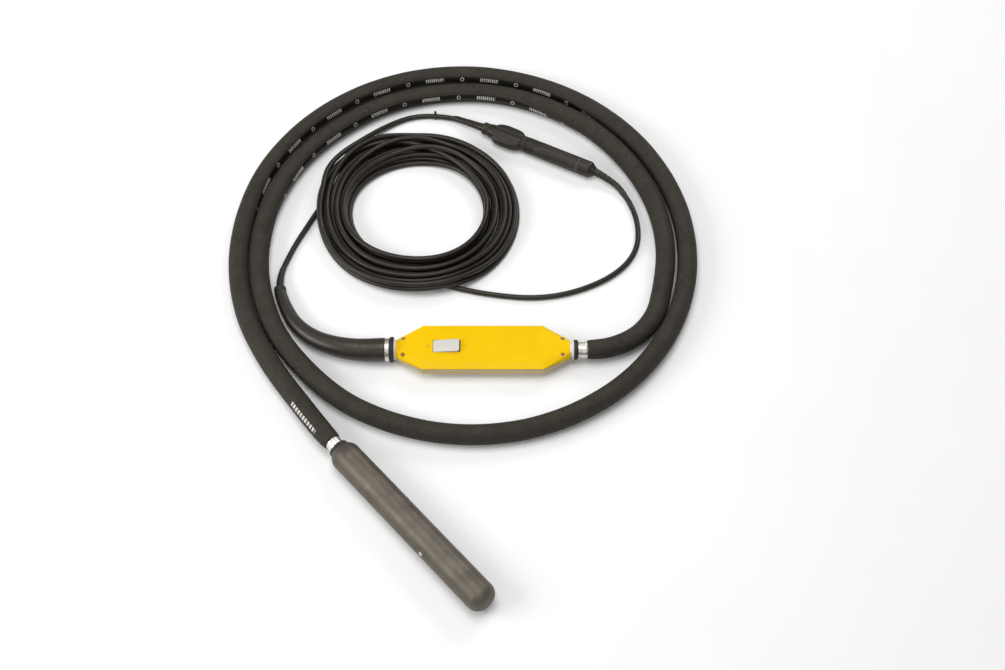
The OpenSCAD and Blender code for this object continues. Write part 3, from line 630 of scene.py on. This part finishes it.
end_route = [
    [-344, 398, 26], [-331, 445, 22.5], [-311, 484, 18.5], [-286, 517, 14.5], [-258, 546, 10.5],
    [-232, 569, 7.5], [-205, 589, 5.8], [-165, 610, 5.5], [-120, 616, 5.5], [-66, 607, 8],
]
plug_relief_route = [[-66, 607, 8], [-45, 596.5, 11], [-22, 583, 15], list(LINE_POS)]
lead_relief_route = [list(LINE_POS + 264 * LINE_DIR), [256, 437, 14], [279, 419, 9.5], [293, 399, 6.5]]
lead_route = [
    [293, 399, 6.5], [306, 371, 5.5], [315, 338, 5.5], [318, 303, 5.5], [314, 268, 5.5],
    [301, 236, 5.5], [279, 208, 5.5], [248, 183, 5.5], [211, 163, 5.5], [171, 148, 5.5],
    [128, 139, 5.5], [84, 137, 5.5], [40, 141, 5.5], [-3, 148, 5.5], [-46, 158, 5.5],
    [-88, 169, 7], [-128, 178, 10],
]


# ---------------------------------------------------------------- protective hose

hose_line = even(smooth_path(hose_route, before=[164, 0, 26], after=list(HEAD_POS + 17 * HEAD_DIR)), 5.0)
hose_s = distances(hose_line)
# Where the printed line lies: millimetres along the hose, and turns around it from the loop's outside over
# the top. It shows on the inside at the back, and lies underneath everywhere else.
PRINT_SIDE = np.array([(0, 0.60), (700, 0.60), (880, 0.452), (1450, 0.448), (1620, 0.60), (3350, 0.60),
                       (3520, 0.440), (4320, 0.440), (4500, 0.60), (5000, 0.60)])
print_side = blur(np.interp(hose_s, PRINT_SIDE[:, 0], PRINT_SIDE[:, 1]), 8)


def hose_shape(s, angle):
    """Slight waves of the wrapped rubber, and a pressed-in end under each fitting."""
    wave = 0.004 * np.sin(s / 31 + 2 * np.sin(angle)) + 0.003 * np.sin(s / 13.7 + angle)
    near, far = s, hose_s[-1] - s
    pinch = (0.04 * np.exp(-near / 3.0) + 0.06 * np.exp(-near / 22.0)
             + 0.04 * np.exp(-far / 3.0) + 0.10 * np.exp(-far / 20.0))
    return 1 + wave - pinch


hose = tube("protective_hose_cover", hose_line, HOSE_R, 40, "hose_rubber", turn=print_side - 0.5,
            shape=hose_shape)
place(hose, "protective_hose")


# ---------------------------------------------------------------- supply lead

lead_line = even(smooth_path(lead_route, before=[279, 419, 9.5], after=[-168, 184, 10]), 4.0)
lead = tube("supply_lead_cable", lead_line, CABLE_R, 20, "cable_rubber")
place(lead, "supply_lead")


# ---------------------------------------------------------------- power cable

COIL = np.array([-134.0, 352.0])
FIRST_AZ = 182.6     # the cable joins the coil here, and winds clockwise
ENTRY = 28.6         # it comes in straight for these first degrees
INNER, OUTER = 137.0, 205.5
# The layers end at these degrees of winding. At the second the winding crosses over to the inside again.
FIRST_LAYER, SECOND_LAYER, LAST = 1440, (3248, 3388), 4695


def wobble(phi, seed, periods, amount):
    """A few sines of uneven height and phase."""
    rng = np.random.default_rng(seed)
    return amount * sum(np.sin(2 * math.pi * phi / p + rng.uniform(0, 2 * math.pi)) * rng.uniform(0.5, 1)
                        for p in periods) / len(periods) ** 0.5


def near_az(az, middle, width):
    """1 in the direction of middle, and falling to 0 on both sides."""
    return np.exp(-(((az - middle + 180) % 360 - 180) / width) ** 2)


def coil_plan():
    """The coil's turns seen from above: out to in, in to out, then in to out again on top."""
    phi = np.arange(0, LAST + 0.1, 2.0)
    az = FIRST_AZ - phi
    start, top_start, top_end = 193.3, 139.6, 207.0
    cross, crossed = SECOND_LAYER
    r = np.interp(phi, [ENTRY, FIRST_LAYER, 1540, 3150, cross, crossed, LAST],
                  [start, INNER, 136.3, OUTER, OUTER, top_start, top_end])
    crossing = OUTER - (OUTER - top_start) * ease((phi - cross) / (crossed - cross))
    r = np.where((phi > cross) & (phi < crossed), crossing, r)
    straight_in = start / np.cos(np.radians(ENTRY - phi))  # under the other turns
    r = np.where(phi < ENTRY, straight_in, r)
    amount = np.where(phi < 1500, 1.3, np.where(phi < 3200, 1.0, 1.4))
    edge = ease((phi - 30) / 60) * ease((LAST - phi) / 120)
    r = r + wobble(phi, seed=182, periods=[97, 151, 233, 311], amount=1.0) * amount * edge
    r = r + wobble(az % 360, seed=133, periods=[360, 180, 120], amount=1.6) * edge
    # the bundle is wider where the cable leaves it, and loose at the front and the back
    wider = 12.5 * near_az(az, 142, 34) + 2.3 * near_az(az, 85, 40) + 1.2 * near_az(az, 0, 40)
    loose = (5.2 * near_az(az, 90, 45) + 7.3 * near_az(az, 270, 45) + 1.6 * near_az(az, 0, 45)
             - 8.0 * near_az(az, 182, 45))
    r = r + np.clip((r - 155) / 40, 0, 1) * wider * edge
    r = r - np.clip((175 - r) / 35, 0, 1) * loose * edge
    # the lowest turns part around the mains plug that lies under the coil
    off = (az + 97 + 180) % 360 - 180
    part = ease(np.clip(1 - np.abs(off) / 46, 0, 1) * 1.35)
    outside = np.maximum(r, 193 + (r - 178) * 0.62)
    inside = np.minimum(r, 151.5 - (161 - r) * 0.62)
    aside = np.where(r > 172, outside, inside)
    r = np.where(phi < FIRST_LAYER, r + (aside - r) * part, r)
    a = np.radians(az)
    return COIL + np.stack([r * np.cos(a), r * np.sin(a)], 1)


def height_on_lead(line):
    """How high the cable lies where it crosses the supply lead."""
    touch = 2 * CABLE_R + 0.5
    to_lead = np.linalg.norm(line[:, None, :2] - lead_line[None, :, :2], axis=2)
    gap = np.sqrt(np.maximum(touch ** 2 - to_lead ** 2, 0))
    return np.where(to_lead < touch, lead_line[None, :, 2] + gap, 0).max(1)


def height_on_block(u, v, start, end, half, top):
    """How high the cable lies on a block of the mains plug, u along the plug and v to its side.
    half is the block's half width at its rear end, behind its shoulder and at its front."""
    past_ends = np.maximum(np.maximum(start - u, u - end), 0)
    past_sides = np.maximum(v - np.interp(u, [0, 14, MAINS_L], half), 0)
    d = np.hypot(past_ends, past_sides)
    return np.where(d < CABLE_R, top + np.sqrt(np.maximum(CABLE_R ** 2 - d * d, 0)), 0)


def height_on_mains_plug(line):
    """How high the cable lies on the mains plug at the end of the supply lead."""
    along = np.array([math.cos(MAINS_YAW), math.sin(MAINS_YAW)])
    across = np.array([-along[1], along[0]])
    from_plug = line[:, :2] - np.array(lead_route[-1][:2], float)
    u, v = from_plug @ along, np.abs(from_plug @ across)
    on_body = height_on_block(u, v, 0, MAINS_L, [7, 13, 13], 20)
    on_pins = height_on_block(u, v, MAINS_L, MAINS_L + PINS_L, [8, 8, 8], 14)
    return np.maximum(on_body, on_pins)


def highest_near(v, reach):
    """The highest value within reach of each."""
    out = v.copy()
    for k in range(1, reach + 1):
        out[k:] = np.maximum(out[k:], v[:-k])
        out[:-k] = np.maximum(out[:-k], v[k:])
    return out


def power_line():
    """The whole power cable, each turn resting on the ones below it, on the lead and on the mains plug."""
    plan = coil_plan()
    rest = np.full((len(plan), 1), CABLE_R)
    points = np.vstack([start_route[:-1], np.hstack([plan, rest]), end_route[1:], plug_relief_route[1:]])
    line = even(smooth_path(points, before=[-410, 188, 9.5], after=LINE_POS + 20 * LINE_DIR, per=3), 6.0)
    for k in (0, 1):
        line[:, k] = blur(line[:, k], 2.0)
    n = len(line)
    i = np.arange(n)
    flat = np.linalg.norm(line[:, None, :2] - line[None, :, :2], axis=2)
    earlier_turn = i[:, None] - i[None, :] > 16  # and not the same one
    under = earlier_turn & (flat < 2 * CABLE_R)
    gap = np.where(under, np.sqrt(np.maximum(4 * CABLE_R ** 2 - flat ** 2, 0)), 0)
    base = line[:, 2].copy()
    fixed = np.maximum(np.maximum(height_on_lead(line), height_on_mains_plug(line)), base)
    in_first_relief, in_last_relief = 8, 21  # the points that keep the lines of the strain reliefs
    free = ease(np.minimum(i - in_first_relief, n - in_last_relief - i) / 10.0)
    z = base.copy()
    for _ in range(8):
        support = np.maximum(np.where(under, z[None, :] + gap, 0).max(1), fixed)
        lifted = blur(blur(highest_near(support, 5), 4.0), 3.0)
        lifted = np.maximum(lifted, blur(support, 1.5))
        lifted = base + (lifted - base) * free
        settled = np.abs(lifted - z).max() < 0.02
        z = lifted
        if settled:
            break
    line[:, 2] = z
    return line


power = power_line()
power_cable = tube("power_cable", power, CABLE_R, 18, "cable_rubber")
place(power_cable, "power_cable_start", "power_cable_coil", "power_cable_end")


# ---------------------------------------------------------------- strain reliefs and grip

def ribbed(line, radii, rib, first, last, depth):
    """Radii along a strain relief with rings between two distances."""
    s = distances(line)
    wave = 0.5 + 0.5 * np.tanh(4 * np.cos(2 * math.pi * s / rib))
    inside = ease((s - first) / 2) * ease((last - s) / 2)
    return radii - depth * (1 - wave) * inside


def relief(name, route, radii, before, after, rib, depth):
    """A tapered strain relief with a plain cuff at its wide end and a plain tip."""
    line = even(smooth_path(route, before=before, after=after), 0.5)
    s = np.linspace(0, 1, len(line))
    r = np.interp(s, np.linspace(0, 1, len(radii)), radii)
    total = line_length(line)
    return tube(name, line, ribbed(line, r, rib, 0.14 * total, 0.9 * total, depth), 32, "cable_rubber")


grip_line = even(smooth_path(grip_route, before=[-184, 0, 26], after=[-411, 160, 11.5]), 1.5)
grip_s = distances(grip_line)
route_s = distances(np.array(grip_route, float))
grip_r = blur(np.interp(grip_s, route_s / route_s[-1] * grip_s[-1], grip_radii), 8)
grip_r = grip_r + 0.5 * (1 - ease((grip_s - 46) / 3))  # cuff by the housing
grip_r = grip_r - 1.6 * (1 - ease(grip_s / 2.2)) ** 2  # rounded ends
grip_r = grip_r - 1.2 * (1 - ease((grip_s[-1] - grip_s) / 2.5)) ** 2


def grip_shape(s, angle):
    """Fine mould lines on both sides of the grip."""
    line = np.exp(-(np.sin(angle) / 0.035) ** 2)
    return 1 + 0.008 * line * ease(s / 6)


place(tube("handle_grip_moulded", grip_line, grip_r, 72, "grip_rubber", shape=grip_shape), "handle_grip")
end_ring_yaw = math.radians(97)
end_ring_m = axis_matrix(grip_route[-1], (math.cos(end_ring_yaw), math.sin(end_ring_yaw), 0))
revolved("handle_end_ring", "moulded", [
    (4, 0.2), (12.1, 0.2, 0.9), (12.3, 2.6), (11.3, 3.4, 0.4), (11.3, 5.0, 0.4), (12.2, 5.8),
    (12.0, 9.4, 1.2), (8.4, 12.0, 0.8), (4, 12.0)], end_ring_m, "black_rubber")
grip_relief = place(relief("cable_relief_ribbed", relief_route, [7.8, 7.2, 6.7, 6.1], [-408.6, 150, 12],
                           [-402, 226, 6.5], 5.0, 0.6), "cable_relief")
plug_relief = place(relief("plug_relief_ribbed", plug_relief_route, [6.3, 7.2, 8.2, 9.2], [-120, 616, 5.5],
                           list(LINE_POS + 20 * LINE_DIR), 6.0, 0.7), "plug_relief")
lead_relief = place(relief("lead_relief_ribbed", lead_relief_route, [8.6, 7.6, 6.6, 6.0],
                           list(LINE_POS + 244 * LINE_DIR), [306, 371, 5.5], 6.0, 0.7), "lead_relief")


# ---------------------------------------------------------------- plug and in-line unit

line_m = axis_matrix(LINE_POS, LINE_DIR)

# a quarter of the plug's section across its wings, from the tip of a wing to the slit
WING = np.array([(26, 0), (25.7, 4.2), (24.2, 7.6), (21.5, 9.6), (14, 12.6), (7.6, 15.9), (5.6, 17.4),
                 (4.4, 17.5), (3.4, 16.4), (2.7, 13.8), (1.5, 13.2), (0, 13.2)])
# its round body: distances from its rear end and radii there
PLUG_BODY = np.array([(0, 10.6), (1.2, 12.2), (3, 13.5), (14, 13.5), (15, 14.2), (20, 15.2), (30, 16.2),
                      (92, 16.2), (93, 16.9), (102.6, 16.9), (104, 15.6)])
BARE_R, WING_ROOT_R = 13.0, 14.0  # under the half shells, and where their wings begin
WINGS_AT, WINGS_HALF = 59.0, 32.6


def plug_radii(s, quarter):
    """The plug: a round body held by two winged half shells, with a slit between them above and below."""
    body = np.interp(s, PLUG_BODY[:, 0], PLUG_BODY[:, 1])
    front_grooves = 0.5 + 0.5 * np.sign(np.sin(2 * math.pi * (s - 94.5) / 2.5))
    body = body - 0.55 * (s > 94.5) * (s < 102) * front_grooves
    body[0] = body[-1] = 0.01
    plan = np.clip(1 - np.abs((s - WINGS_AT) / WINGS_HALF) ** 3.2, 0, 1) ** (1 / 2.1)
    wing_angle = np.arctan2(WING[:, 1], WING[:, 0])
    out = np.array([np.interp(quarter, wing_angle, np.hypot(WING[:, 0], WING[:, 1]))]).repeat(len(s), 0)
    side = np.cos(quarter)[None, :] ** 2
    grown = out * (1 - side) + (WING_ROOT_R + (out - WING_ROOT_R) * plan[:, None]) * side
    share = ease(plan / 0.32)[:, None]
    wing = BARE_R + (grown - BARE_R) * share
    slit = (quarter > math.radians(78))[None, :] * share
    radius = np.maximum(body[:, None] * np.ones_like(wing), wing)
    radius = np.where(slit > 0.5, np.minimum(radius, wing), radius)
    rear_grooves = np.exp(-((s - 8) / 0.7) ** 2) + np.exp(-((s - 11) / 0.7) ** 2)
    return np.maximum(radius - 0.45 * rear_grooves[:, None], 0.01)


def plug_body():
    s = np.concatenate([[0, 0.01], np.arange(0.5, 103.6, 0.7), [103.99, 104]])
    angle = 2 * math.pi * np.arange(192) / 192
    quarter = np.arctan2(np.abs(np.sin(angle)), np.abs(np.cos(angle)))
    verts = around_axis(line_m, plug_radii(s, quarter), angle, s[:, None])
    faces = [face for i in range(len(s) - 1) for face in band(i, i + 1, len(angle))]
    return to_object("plug_body_moulded", verts, faces, "connector_black", sharp=50)


plug = place(plug_body(), "plug_body")


def grooves(start, stop, pitch, r, depth):
    """Rings with grooves between them, as corners of an outline."""
    out = []
    z = start
    while z + pitch <= stop:
        out += [(r, z, 0.3), (r, z + pitch * 0.58, 0.3)]
        out += [(r - depth, z + pitch * 0.66), (r - depth, z + pitch * 0.92)]
        z += pitch
    return out


revolved("unit_body", "moulded", [
    (0, 104), (15.9, 104, 0.5), (16.9, 104.8, 0.5), *grooves(105, 127, 2.5, 17.3, 0.6), (17.4, 127.6),
    (17.5, 140), (17.5, 180), (17.5, 219.9), (17.5, 221.8, 0.2), (16.0, 222.2), (16.0, 230),
    (17.5, 230.3, 0.2), (17.5, 233), (17.5, 249), (17.5, 251.6, 0.5), (16.7, 254.4, 0.5), (12.6, 259.2, 0.5),
    (11.4, 260.4, 0.4), (11.4, 262.2, 0.3), (10, 264, 0.6), (0, 264)], line_m, "connector_black")


def knurl(r, angle, z):
    """Forty-eight fine ribs on the outside."""
    return np.where(r > 16.4, r - 0.22 * (0.5 + 0.5 * np.sign(np.sin(angle * 48))), r)


revolved("unit_ring", "knurled", [(16.0, 222.4), (17.5, 222.4, 0.3), (17.5, 229.9, 0.3), (16.0, 229.9)],
         line_m, "dark_plastic", segments=192, shape=knurl)
tie = softened("cable_tie", 0.25, "dark_plastic")
mains_plug = softened("mains_plug", 1.0, "connector_black", angle=40)


# ---------------------------------------------------------------- housing

# angle=5 rounds the top's shallow creases too, and the yellow coat paints a highlight along them
softened("upper_shell", 0.9, "yellow_shell", angle=5)
softened("lower_shell", 0.9, "grey_shell", angle=8)
softened("switch_frame", 0.35, "yellow_shell")
softened("switch_rocker", 1.1, "light_plastic", segments=4, body="rocker")
# the screws' yellow-brown is painted shade of their recesses with a painted reflection of the shell
softened("housing_screws", 0.3, "screw_steel", angle=40)


def switch_mark(name, x, profile, shape=None):
    """A printed mark beside the rocker, a little proud of the shell."""
    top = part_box("upper_shell")[1].z / MM
    at = Matrix.Translation((x, 0, top - 0.6))
    mark = lathe(name, profile, at, "dark_plastic", segments=64, shape=shape)
    mark.data.materials[0] = MATERIALS["mark_ink"]
    place(mark)


BAR_LENGTH, BAR_WIDTH = 3.3, 0.6  # halves of the bar that marks the on side


def bar(r, angle, z):
    """Draws a disc out into a bar with round corners."""
    reach = np.abs(np.cos(angle)) ** 8 + np.abs(np.sin(angle) * BAR_WIDTH / BAR_LENGTH) ** 8
    return r * reach ** (-1 / 8)


switch_left, switch_right = (corner.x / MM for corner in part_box("switch_frame"))
switch_mark("off_mark", switch_left - 5.9, [(2.5, 0), (3.4, 0), (3.4, 0.72, 0.1), (2.5, 0.72, 0.1)])
switch_mark("on_mark", switch_right + 3.9, [(0, 0), (BAR_WIDTH, 0), (BAR_WIDTH, 0.72, 0.1), (0, 0.72)], bar)


# ---------------------------------------------------------------- rings at both ends of the housing

# Their outlines start at the ends of the housing and run outwards.
HOUSING_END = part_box("outlet_washer")[0].x / MM
outlet_m = axis_matrix((HOUSING_END, 0, AXIS_H), (1, 0, 0))
inlet_m = axis_matrix((-HOUSING_END, 0, AXIS_H), (-1, 0, 0))

revolved("inlet_washer", "turned", [
    (9, 0), (19.4, 0, 0.4), (20, 1.2, 0.6), (20, 4.4, 0.6), (9, 4.4)], inlet_m, "cream_plastic")
revolved("inlet_seal", "moulded", [
    (9, 4.6), (24.2, 4.6, 1.0), (25.5, 6.2, 1.4), (25.2, 8.0, 0.5), (24.5, 8.5, 0.4), (25.2, 9.0, 0.5),
    (25.5, 10.8, 1.4), (24.0, 12.4, 1.0), (9, 12.4)], inlet_m, "black_rubber")
revolved("inlet_collar", "turned", [
    (9, 12.6), (22.0, 12.6, 0.6), (23, 13.8, 0.6), (23, 18.2, 0.2), (22.6, 18.5), (22.6, 18.9),
    (23, 19.2, 0.2), (23, 21.2, 0.5), (9, 21.4)], inlet_m, "bright_steel")
revolved("outlet_washer", "turned", [
    (9, 0), (14.6, 0), (15, 0.4), (15, 4), (18.4, 4, 0.4), (19, 4.8, 0.4), (19, 7.6, 0.5), (18.4, 7.9),
    (9, 7.9)], outlet_m, "cream_plastic")
revolved("outlet_seal", "moulded", [
    (9, 8.1), (19, 8.1, 0.6), (20, 9.6, 1.0), (19.6, 11.6, 0.4), (19.2, 12.0), (19.6, 12.4, 0.4),
    (20, 14.2, 1.0), (18.6, 15.4, 0.6), (9, 15.4)], outlet_m, "black_rubber")


def crimp(start, stop, flats, depth):
    """Presses flats into a ferrule between two heights."""
    def shape(r, angle, z):
        along = ease((z - start) / 1.6) * ease((stop - z) / 1.6)
        press = (0.5 + 0.5 * np.cos(flats * angle)) ** 2
        return np.where(r > 12, r - depth * along * press, r)
    return shape


revolved("outlet_ferrule", "crimped", [
    (9, 15.6), (15.2, 15.6, 0.4), (16, 16.6, 0.5), (16, 20.0), (15.5, 20.6), (15.5, 21.2), (16, 21.8),
    *[(16, z) for z in range(24, 32, 2)], (16, 32.6), (15.4, 34.4, 0.5), (9, 34.8)],
    outlet_m, "bright_steel", segments=160, shape=crimp(22.5, 33, 8, 0.35))


# ---------------------------------------------------------------- vibrator head

head_m = axis_matrix(HEAD_POS, HEAD_DIR)
HEAD_R = 29.0

# Outlines start at the rear face of the head and run forwards.
revolved("neck_ring", "moulded", [
    (13.6, -6.9), (19.0, -6.9, 0.7), (20, -5.4, 0.9), (19.5, -3.6, 0.3), (20, -1.8, 0.9),
    (19.2, -0.2, 0.5), (13.6, -0.2)], head_m, "black_rubber")
revolved("hose_neck", "crimped", [
    (7, -62), (11, -62, 0.6), (12.4, -45), (11.7, -44), (12.4, -24), (12.4, -23), (15.0, -23, 0.4),
    (15.5, -22, 0.4), (15.5, -19.4), (15.0, -18.9), (15.0, -18.3), (15.5, -17.8), (15.5, -15), (15.5, -13),
    (15.5, -11), (15.5, -9.6), (15.2, -7, 0.3), (13.4, -7), (13.4, 0), (11, 0), (11, 19.6), (7, 19.6)],
    head_m, "bright_steel", segments=160, shape=crimp(-17.5, -8.5, 8, 0.3))
revolved("rear_adapter", "turned", [
    (11.1, 0), (20.3, 0, 0.6), (21.6, 1.2, 0.8), (24.7, 5.7, 3), (27.3, 10.8, 4), (28.7, 14.6, 1.5),
    (HEAD_R, 15.8, 0.2), (28.9, 15.97), (23.9, 16), (23.9, 27.4), (21.5, 27.4), (21.5, 30.6), (23.9, 30.6),
    (23.9, 42), (19, 42), (19, 30), (11.1, 30)], head_m, "head_steel", segments=128)


def used_barrel(r, angle, z):
    """Barely uneven, as a blasted and used tube is."""
    return np.where(r > 28, r - 0.12 * (0.5 + 0.5 * np.sin(z / 41 + 2 * np.cos(angle))), r)


barrel = lathe("head_tube_turned", [
    (24, 16.03), (28.9, 16.03), (HEAD_R, 16.2), *[(HEAD_R, z) for z in range(30, 350, 10)],
    (HEAD_R, 352.8), (28.85, 352.97), (24, 352.97)], head_m, "head_steel", segments=128, shape=used_barrel)


def drilled(o, matrix, radius, start, stop):
    """Cuts a countersunk hole with its axis along the matrix's Z axis."""
    sink = 1.2
    cutter = lathe("drill", [(0, start), (radius, start), (radius, stop - sink),
                             (radius + 2 * sink, stop + sink), (0, stop + sink)],
                   matrix, "head_steel", segments=48)
    cut = o.modifiers.new("hole", "BOOLEAN")
    cut.object, cut.operation, cut.solver = cutter, "DIFFERENCE", "EXACT"
    bpy.context.view_layer.update()
    mesh = bpy.data.meshes.new_from_object(o.evaluated_get(bpy.context.evaluated_depsgraph_get()))
    o.modifiers.clear()
    o.data = mesh
    bpy.data.objects.remove(cutter)
    shade(mesh)


lock_turn = math.radians(-105)
down, sideways = Vector((0, 0, -1)), Vector((-HEAD_DIR[1], HEAD_DIR[0], 0))
lock_dir = math.cos(lock_turn) * down + math.sin(lock_turn) * sideways
lock_at = HEAD_POS + 264 * HEAD_DIR
drilled(barrel, axis_matrix(lock_at, lock_dir), 4.3, 20, HEAD_R)
place(barrel, "head_tube")
nose_r = 22
nose_arc = [(HEAD_R - nose_r + nose_r * math.cos(t), 393 + nose_r * math.sin(t))
            for t in np.linspace(0, math.pi / 2, 17)]
revolved("nose_cap", "turned", [
    (0, 331), (23.9, 331), (23.9, 342.4), (21.5, 342.4), (21.5, 345.6), (23.9, 345.6), (23.9, 353.03),
    (28.85, 353.03), (HEAD_R, 353.2), (HEAD_R, 362), (HEAD_R, 372), (HEAD_R, 382), *nose_arc, (0, 415)],
    head_m, "head_steel", segments=128)
lock = softened("lock_screw", 0.25, "screw_steel", angle=40)
# the lock screw sits in no recess, so it takes bright steel instead of the housing screws' painted recess
# shade
lock.data.materials[0] = MATERIALS["bright_steel"]


# ---------------------------------------------------------------- finishes of the carried-over CAD nodes

for subpart in frame["record"]["subparts"]:
    materials = frame["nodes"][subpart["node"]].data.materials
    materials.clear()
    materials.append(MATERIALS[subpart["material_slot"]])


# ---------------------------------------------------------------- stage and light

def stage_floor():
    mesh = bpy.data.meshes.new("floor")
    mesh.from_pydata([(-9, -9, 0), (9, -9, 0), (9, 12, 0), (-9, 12, 0)], [], [(0, 1, 2, 3)])
    n = Nodes("floor_paper")
    n.colour(n.mix(n.spread(n.noise(3), 0.3, 0.7), (0.93, 0.93, 0.93), (0.95, 0.95, 0.95)))
    n.bsdf.inputs["Roughness"].default_value = 0.95
    n.bsdf.inputs["Specular IOR Level"].default_value = 0.0
    mesh.materials.append(n.material)
    in_scene("floor", mesh)


def area_light(name, location, target, size, power):
    light = bpy.data.lights.new(name, "AREA")
    light.shape = "RECTANGLE"
    light.size, light.size_y = size
    light.energy = power
    o = in_scene(name, light)
    o.location = location
    o.rotation_euler = (Vector(target) - Vector(location)).to_track_quat("-Z", "Y").to_euler()


stage_floor()
area_light("overhead", (-0.3, 0.2, 3.3), (0, 0.25, 0), (2.2, 1.8), 52)
area_light("rear", (1.6, 2.7, 2.2), (0, 0.25, 0), (2.0, 1.2), 38)
area_light("left", (-3.1, -0.7, 1.8), (0, 0.1, 0), (2.4, 1.6), 70)
area_light("front", (0.4, -2.8, 2.6), (0, 0.1, 0), (3.0, 1.6), 15)
world = bpy.data.worlds.new("studio")
world.use_nodes = True
background = world.node_tree.nodes["Background"]
background.inputs["Color"].default_value = (1, 1, 1, 1)
background.inputs["Strength"].default_value = 0.28
scene.world = world
